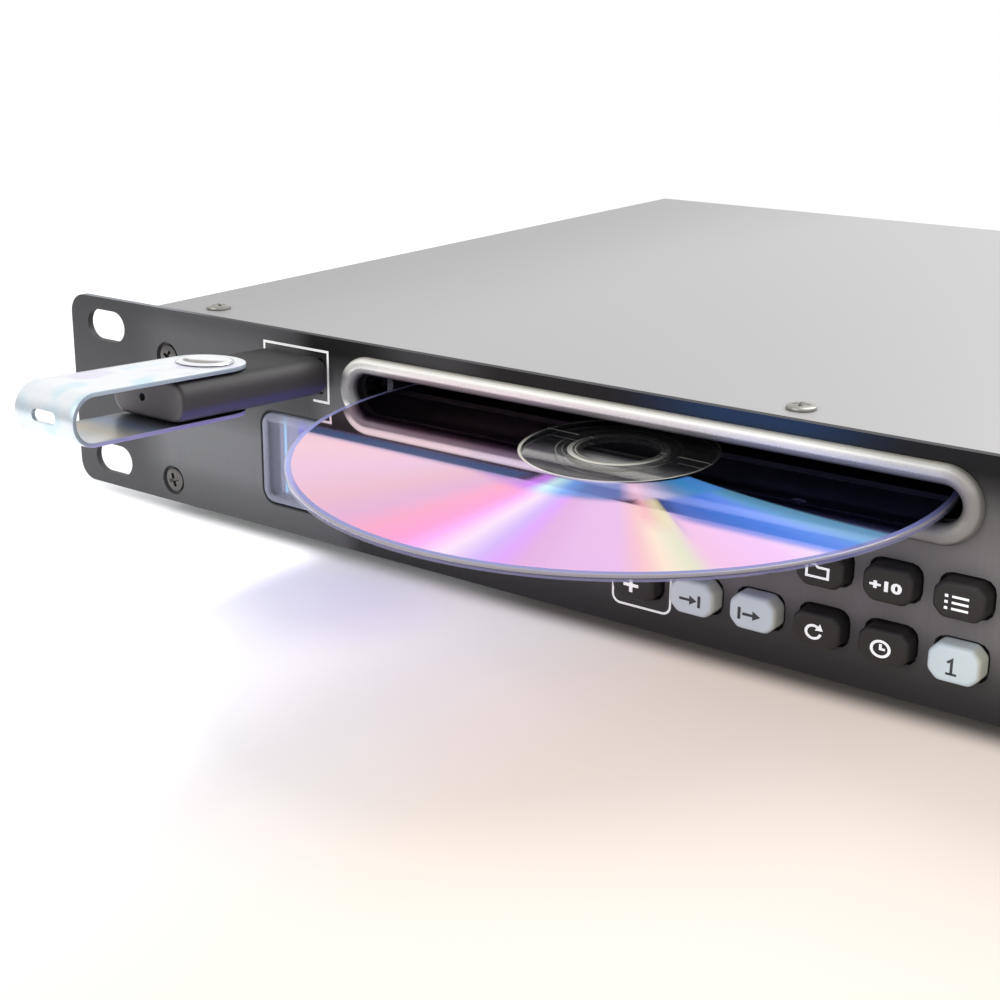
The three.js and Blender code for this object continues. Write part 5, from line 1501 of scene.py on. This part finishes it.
class PLAYER_OT_stick(bpy.types.Operator):
    """Memory stick with its swivel cap"""
    bl_idname = "disc_player.stick"
    bl_label = "Memory stick"

    def execute(self, context):
        self.body()
        self.cap()
        self.pin()
        return {"FINISHED"}

    def body(self):
        """Shell with rounded ends and a small hole for a cord in its outer end."""
        width, height, end, root = 19.4, 7.8, -41.4, -0.8
        corner, end_round, steps = 3.2, 1.15, 5
        leans = [math.radians(90 * i / steps) for i in range(steps + 1)]
        half = [(end_round * (1 - math.sin(lean)), end_round * (1 - math.cos(lean))) for lean in leans]
        sections = [(inset, end + along) for inset, along in half]
        sections += [(inset, root - along) for inset, along in reversed(half)]
        rings = [
            [on_stick(x, y, z) for x, z in rounded(
                width - 2 * inset, height - 2 * inset, corner - inset * 0.8, steps=8)]
            for inset, y in sections]
        made = shape_object("stick_shell", *skin(rings))
        hole, deep = 0.78, 6.0
        carve(made, shape_object("cord_hole", *lathe(
            [(0.0, 0.0), (hole, 0.0), (hole, deep), (0.0, deep)], 24,
            lambda x, y, z: on_stick(x - 1.2, end - 1 + z, y))))
        finish_piece(made, "stick", "black_plastic", stick_plastic(), ["stick_body"], 30)

    def cap(self):
        """Sheet bent round the stick's outer end, with rounded arm ends and a slot in the bend."""
        half_width, mid, columns, turns = 8.0, 4.6, 12, 18
        path = [
            (CAP_PIN + half_width * math.cos(share * math.pi / 2), mid)
            for share in (0.0, 0.03, 0.08, 0.15, 0.25, 0.37, 0.5, 0.65, 0.82, 1.0)]
        path += [(CAP_PIN + (CAP_BEND - CAP_PIN) * i / 8, mid) for i in range(1, 9)]
        lower = [(y, -z) for y, z in reversed(path)]
        path += arc(CAP_BEND, 0, mid, math.pi / 2, math.pi * 3 / 2, turns)[1:-1]
        rows = path + lower
        points, faces = [], []
        for y, z in rows:
            reach = half_width if y < CAP_PIN else math.sqrt(max(0.04, half_width ** 2 - (y - CAP_PIN) ** 2))
            points += [on_stick(reach * (2 * j / columns - 1), y, z) for j in range(columns + 1)]
        for i in range(len(rows) - 1):
            for j in range(columns):
                a = i * (columns + 1) + j
                faces.append((a, a + 1, a + columns + 2, a + columns + 1))
        made = shape_object("swivel_cap", points, faces)
        wall = made.modifiers.new("wall", "SOLIDIFY")
        wall.thickness = 0.8 * MM
        wall.offset = 0
        wall.use_even_offset = True
        edge = made.modifiers.new("edge", "BEVEL")
        edge.width = 0.14 * MM
        edge.segments = 2
        edge.limit_method = "ANGLE"
        edge.angle_limit = math.radians(50)
        settle(made)
        slot = rounded(6.5, 2.4, 1.15)
        carve(made, shape_object("cord_slot", *skin([
            [on_stick(x, y, z) for x, z in slot] for y in (-70.0, -62.0)])))
        finish_piece(made, "cap", "satin_aluminium", cap_metal(), ["stick_cap"], 40)

    def pin(self):
        profile = RIVET + tuple((radius, -height) for radius, height in reversed(RIVET))
        shape = lathe(profile, 48, lambda a, b, c: on_stick(a, CAP_PIN + b, c))
        piece("cap_rivet", *shape, "stick", "satin_aluminium", pin_metal(), ["stick_cap_pin"], 30)


class PLAYER_OT_controls(bpy.types.Operator):
    """Jog knob with a ribbed grip, and the pitch fader's cap"""
    bl_idname = "disc_player.controls"
    bl_label = "Knob and fader"

    def execute(self, context):
        front, back, radius = low("jog_knob").y, -0.8, span("jog_knob").x / 2
        self.dial(front, back, radius)
        self.ribs((front + back) / 2 - 0.5, radius)
        self.fader()
        return {"FINISHED"}

    def dial(self, front, back, radius):
        """Dished dial with a finger dimple."""
        end, centre, shaft = high("jog_knob").y, middle("jog_knob"), 3.0
        # Share of the radius, and depth behind the front
        face = (
            (0.0, 1.0), (0.62, 1.0), (0.66, 0.8), (0.7, 0.25), (0.76, 0.0), (0.84, 0.05), (0.9, 0.35),
            (0.93, 0.9), (0.94, 2.0))
        profile = [(radius * share, front + deep) for share, deep in face]
        profile += [(radius * 0.955, back - 2.2), (radius, back - 1.0), (radius, back)]
        profile += [(shaft, back), (shaft, end), (0.0, end)]
        made = shape_object("jog_dial", *lathe(profile, 96, about(centre)))
        ball_radius, steps = 4.8, 8
        ball = [(0.0, ball_radius)]
        for i in range(1, steps):
            lean = math.pi * i / steps
            ball.append((ball_radius * math.sin(lean), ball_radius * math.cos(lean)))
        ball.append((0.0, -ball_radius))
        ball_centre = Vector((centre.x, front - 2.6, centre.z + 7.0))
        carve(made, shape_object("dimple", *lathe(
            ball, 40, lambda a, b, c: (ball_centre.x + a, ball_centre.y + c, ball_centre.z + b))))
        grey = plastic("dial_grey", srgb(58, 59, 62), 0.42, 1.8, 0.2, 0.1)
        finish_piece(made, "knob", "grey_plastic", grey, ["jog_knob"], 28)

    def ribs(self, depth, radius):
        """Rubber ribs in a ring round the dial."""
        rib = shape_object("rib", *skin([upright(rounded(0.9, 0.8, 0.3, steps=3), y) for y in (-5.2, 4.6)]))
        garden = Garden("grip_ribs", {"Ribs": 48, "Radius": radius * 0.948 * MM})
        ring = garden.node("GeometryNodeMeshCircle", {"fill_type": "NONE"}, {
            "Vertices": garden.size("Ribs"), "Radius": garden.size("Radius")})
        turned = garden.node("GeometryNodeTransform", None, {
            "Geometry": ring.outputs[0], "Rotation": (math.pi / 2, 0, 0),
            "Translation": Vector((middle("jog_knob").x, depth, middle("jog_knob").z)) * MM})
        count = garden.node("GeometryNodeInputIndex")
        share = garden.node("ShaderNodeMath", {"operation": "DIVIDE"}, {
            0: count.outputs[0], 1: garden.size("Ribs")})
        angle = garden.node("ShaderNodeMath", {"operation": "MULTIPLY"}, {
            0: share.outputs[0], 1: -2 * math.pi})
        axis = garden.node("ShaderNodeCombineXYZ", None, {1: angle.outputs[0]})
        rubber = plastic("grip_rubber", srgb(34, 34, 36), 0.7, 2.0, 0.3)
        copies = garden.copies(rib, turned.outputs[0], axis.outputs[0])
        finish_piece(garden.grow("dial_ribs", copies, rubber, rib), "knob", "grey_plastic", rubber, (), 30)

    def fader(self):
        """Waisted cap on a stem, with a white line on its crown."""
        start, end, centre = low("pitch_fader").y, high("pitch_fader").y, middle("pitch_fader")
        wide, tall = span("pitch_fader").x, span("pitch_fader").z
        # Share of the full width, and depth
        waist = (
            (1.0, -0.5), (0.97, -1.4), (0.74, -4.5), (0.66, start + 1.0), (0.6, start + 0.35), (0.5, start))
        rings = [
            upright(rounded(wide * share, tall - (1 - share) * 3.2, 0.9 * share, centre.x, centre.z, 4), y)
            for share, y in waist]
        stem = rounded(6.0, 2.0, 0.3, centre.x, centre.z, 4)
        body = joined(skin(rings), skin([upright(stem, y) for y in (end, -0.6)]))
        black = plastic("fader_black", srgb(38, 38, 40), 0.45, 2.0, 0.25)
        piece("fader_cap", *body, "fader", "black_plastic", black, ["pitch_fader"], 30)
        reach = tall / 2 - 1.3
        stripe = ribbon([(centre.x, centre.z - reach), (centre.x, centre.z + reach)], 0.8)
        white = ink("fader_print", srgb(238, 238, 236))
        piece("fader_mark", *printed([stripe], start, 0.04), "fader", "black_plastic", white)


class PLAYER_OT_rear(bpy.types.Operator):
    """Gilded sleeves of the rear sockets"""
    bl_idname = "disc_player.rear"
    bl_label = "Rear sockets"
    # Section of a sleeve: radius, and depth from the socket's end
    SLEEVE = (
        (1.9, -0.4), (1.9, 0.1), (3.4, 0.1), (4.0, -0.2), (4.35, -0.6), (4.35, -5.5), (4.12, -5.5),
        (4.12, -0.9), (2.2, -0.4))
    PITCH = 14.0
    COUNT = 4

    def execute(self, context):
        jacks, back = middle("audio_jacks"), high("audio_jacks").y
        first = Vector((jacks.x - self.PITCH * (self.COUNT - 1) / 2, back, jacks.z))
        sleeve = shape_object("sleeve", *lathe(self.SLEEVE, 36, about(Vector())))
        garden = Garden("jack_sleeves", {"Count": self.COUNT, "Pitch": self.PITCH * MM})
        step = garden.node("ShaderNodeCombineXYZ", None, {0: garden.size("Pitch")})
        row = garden.node("GeometryNodeMeshLine", {"mode": "OFFSET"}, {
            "Count": garden.size("Count"), "Offset": step.outputs[0], "Start Location": first * MM})
        gold = metal("jack_gold", srgb(222, 188, 112), 0.22)
        made = garden.grow("jack_rings", garden.copies(sleeve, row.outputs[0]), gold, sleeve)
        finish_piece(made, "chassis", "bright_steel", gold, (), 30)
        return {"FINISHED"}


class PLAYER_PT_sidebar(bpy.types.Panel):
    """Buttons and settings of the disc player"""
    bl_idname = "PLAYER_PT_sidebar"
    bl_label = "Disc Player"
    bl_space_type = "VIEW_3D"
    bl_region_type = "UI"
    bl_category = "Disc Player"

    def draw(self, context):
        column = self.layout.column()
        for operator in OPERATORS:
            column.operator(operator.bl_idname)
        for label in GROUPS:
            chosen = getattr(context.scene, label)
            for key in chosen.__annotations__:
                column.prop(chosen, key)


OPERATORS = [
    PLAYER_OT_stage, PLAYER_OT_case, PLAYER_OT_trim, PLAYER_OT_lens, PLAYER_OT_keys, PLAYER_OT_prints,
    PLAYER_OT_screws, PLAYER_OT_disc, PLAYER_OT_stick, PLAYER_OT_controls, PLAYER_OT_rear]
GROUPS = {
    "disc_player_stage": StageSettings, "disc_player_paint": PaintSettings, "disc_player_trim": TrimSettings,
    "disc_player_keys": KeySettings, "disc_player_disc": DiscSettings}


def register():
    for group in GROUPS.values():
        bpy.utils.register_class(group)
    for label, group in GROUPS.items():
        setattr(bpy.types.Scene, label, PointerProperty(type=group))
    for operator in OPERATORS + [PLAYER_PT_sidebar]:
        bpy.utils.register_class(operator)


def unregister():
    for operator in reversed(OPERATORS + [PLAYER_PT_sidebar]):
        bpy.utils.unregister_class(operator)
    for label in GROUPS:
        delattr(bpy.types.Scene, label)
    for group in GROUPS.values():
        bpy.utils.unregister_class(group)


def main():
    register()
    for operator in OPERATORS:
        name = operator.bl_idname.split(".")[1]
        getattr(bpy.ops.disc_player, name)()


if __name__ == "__main__":
    main()
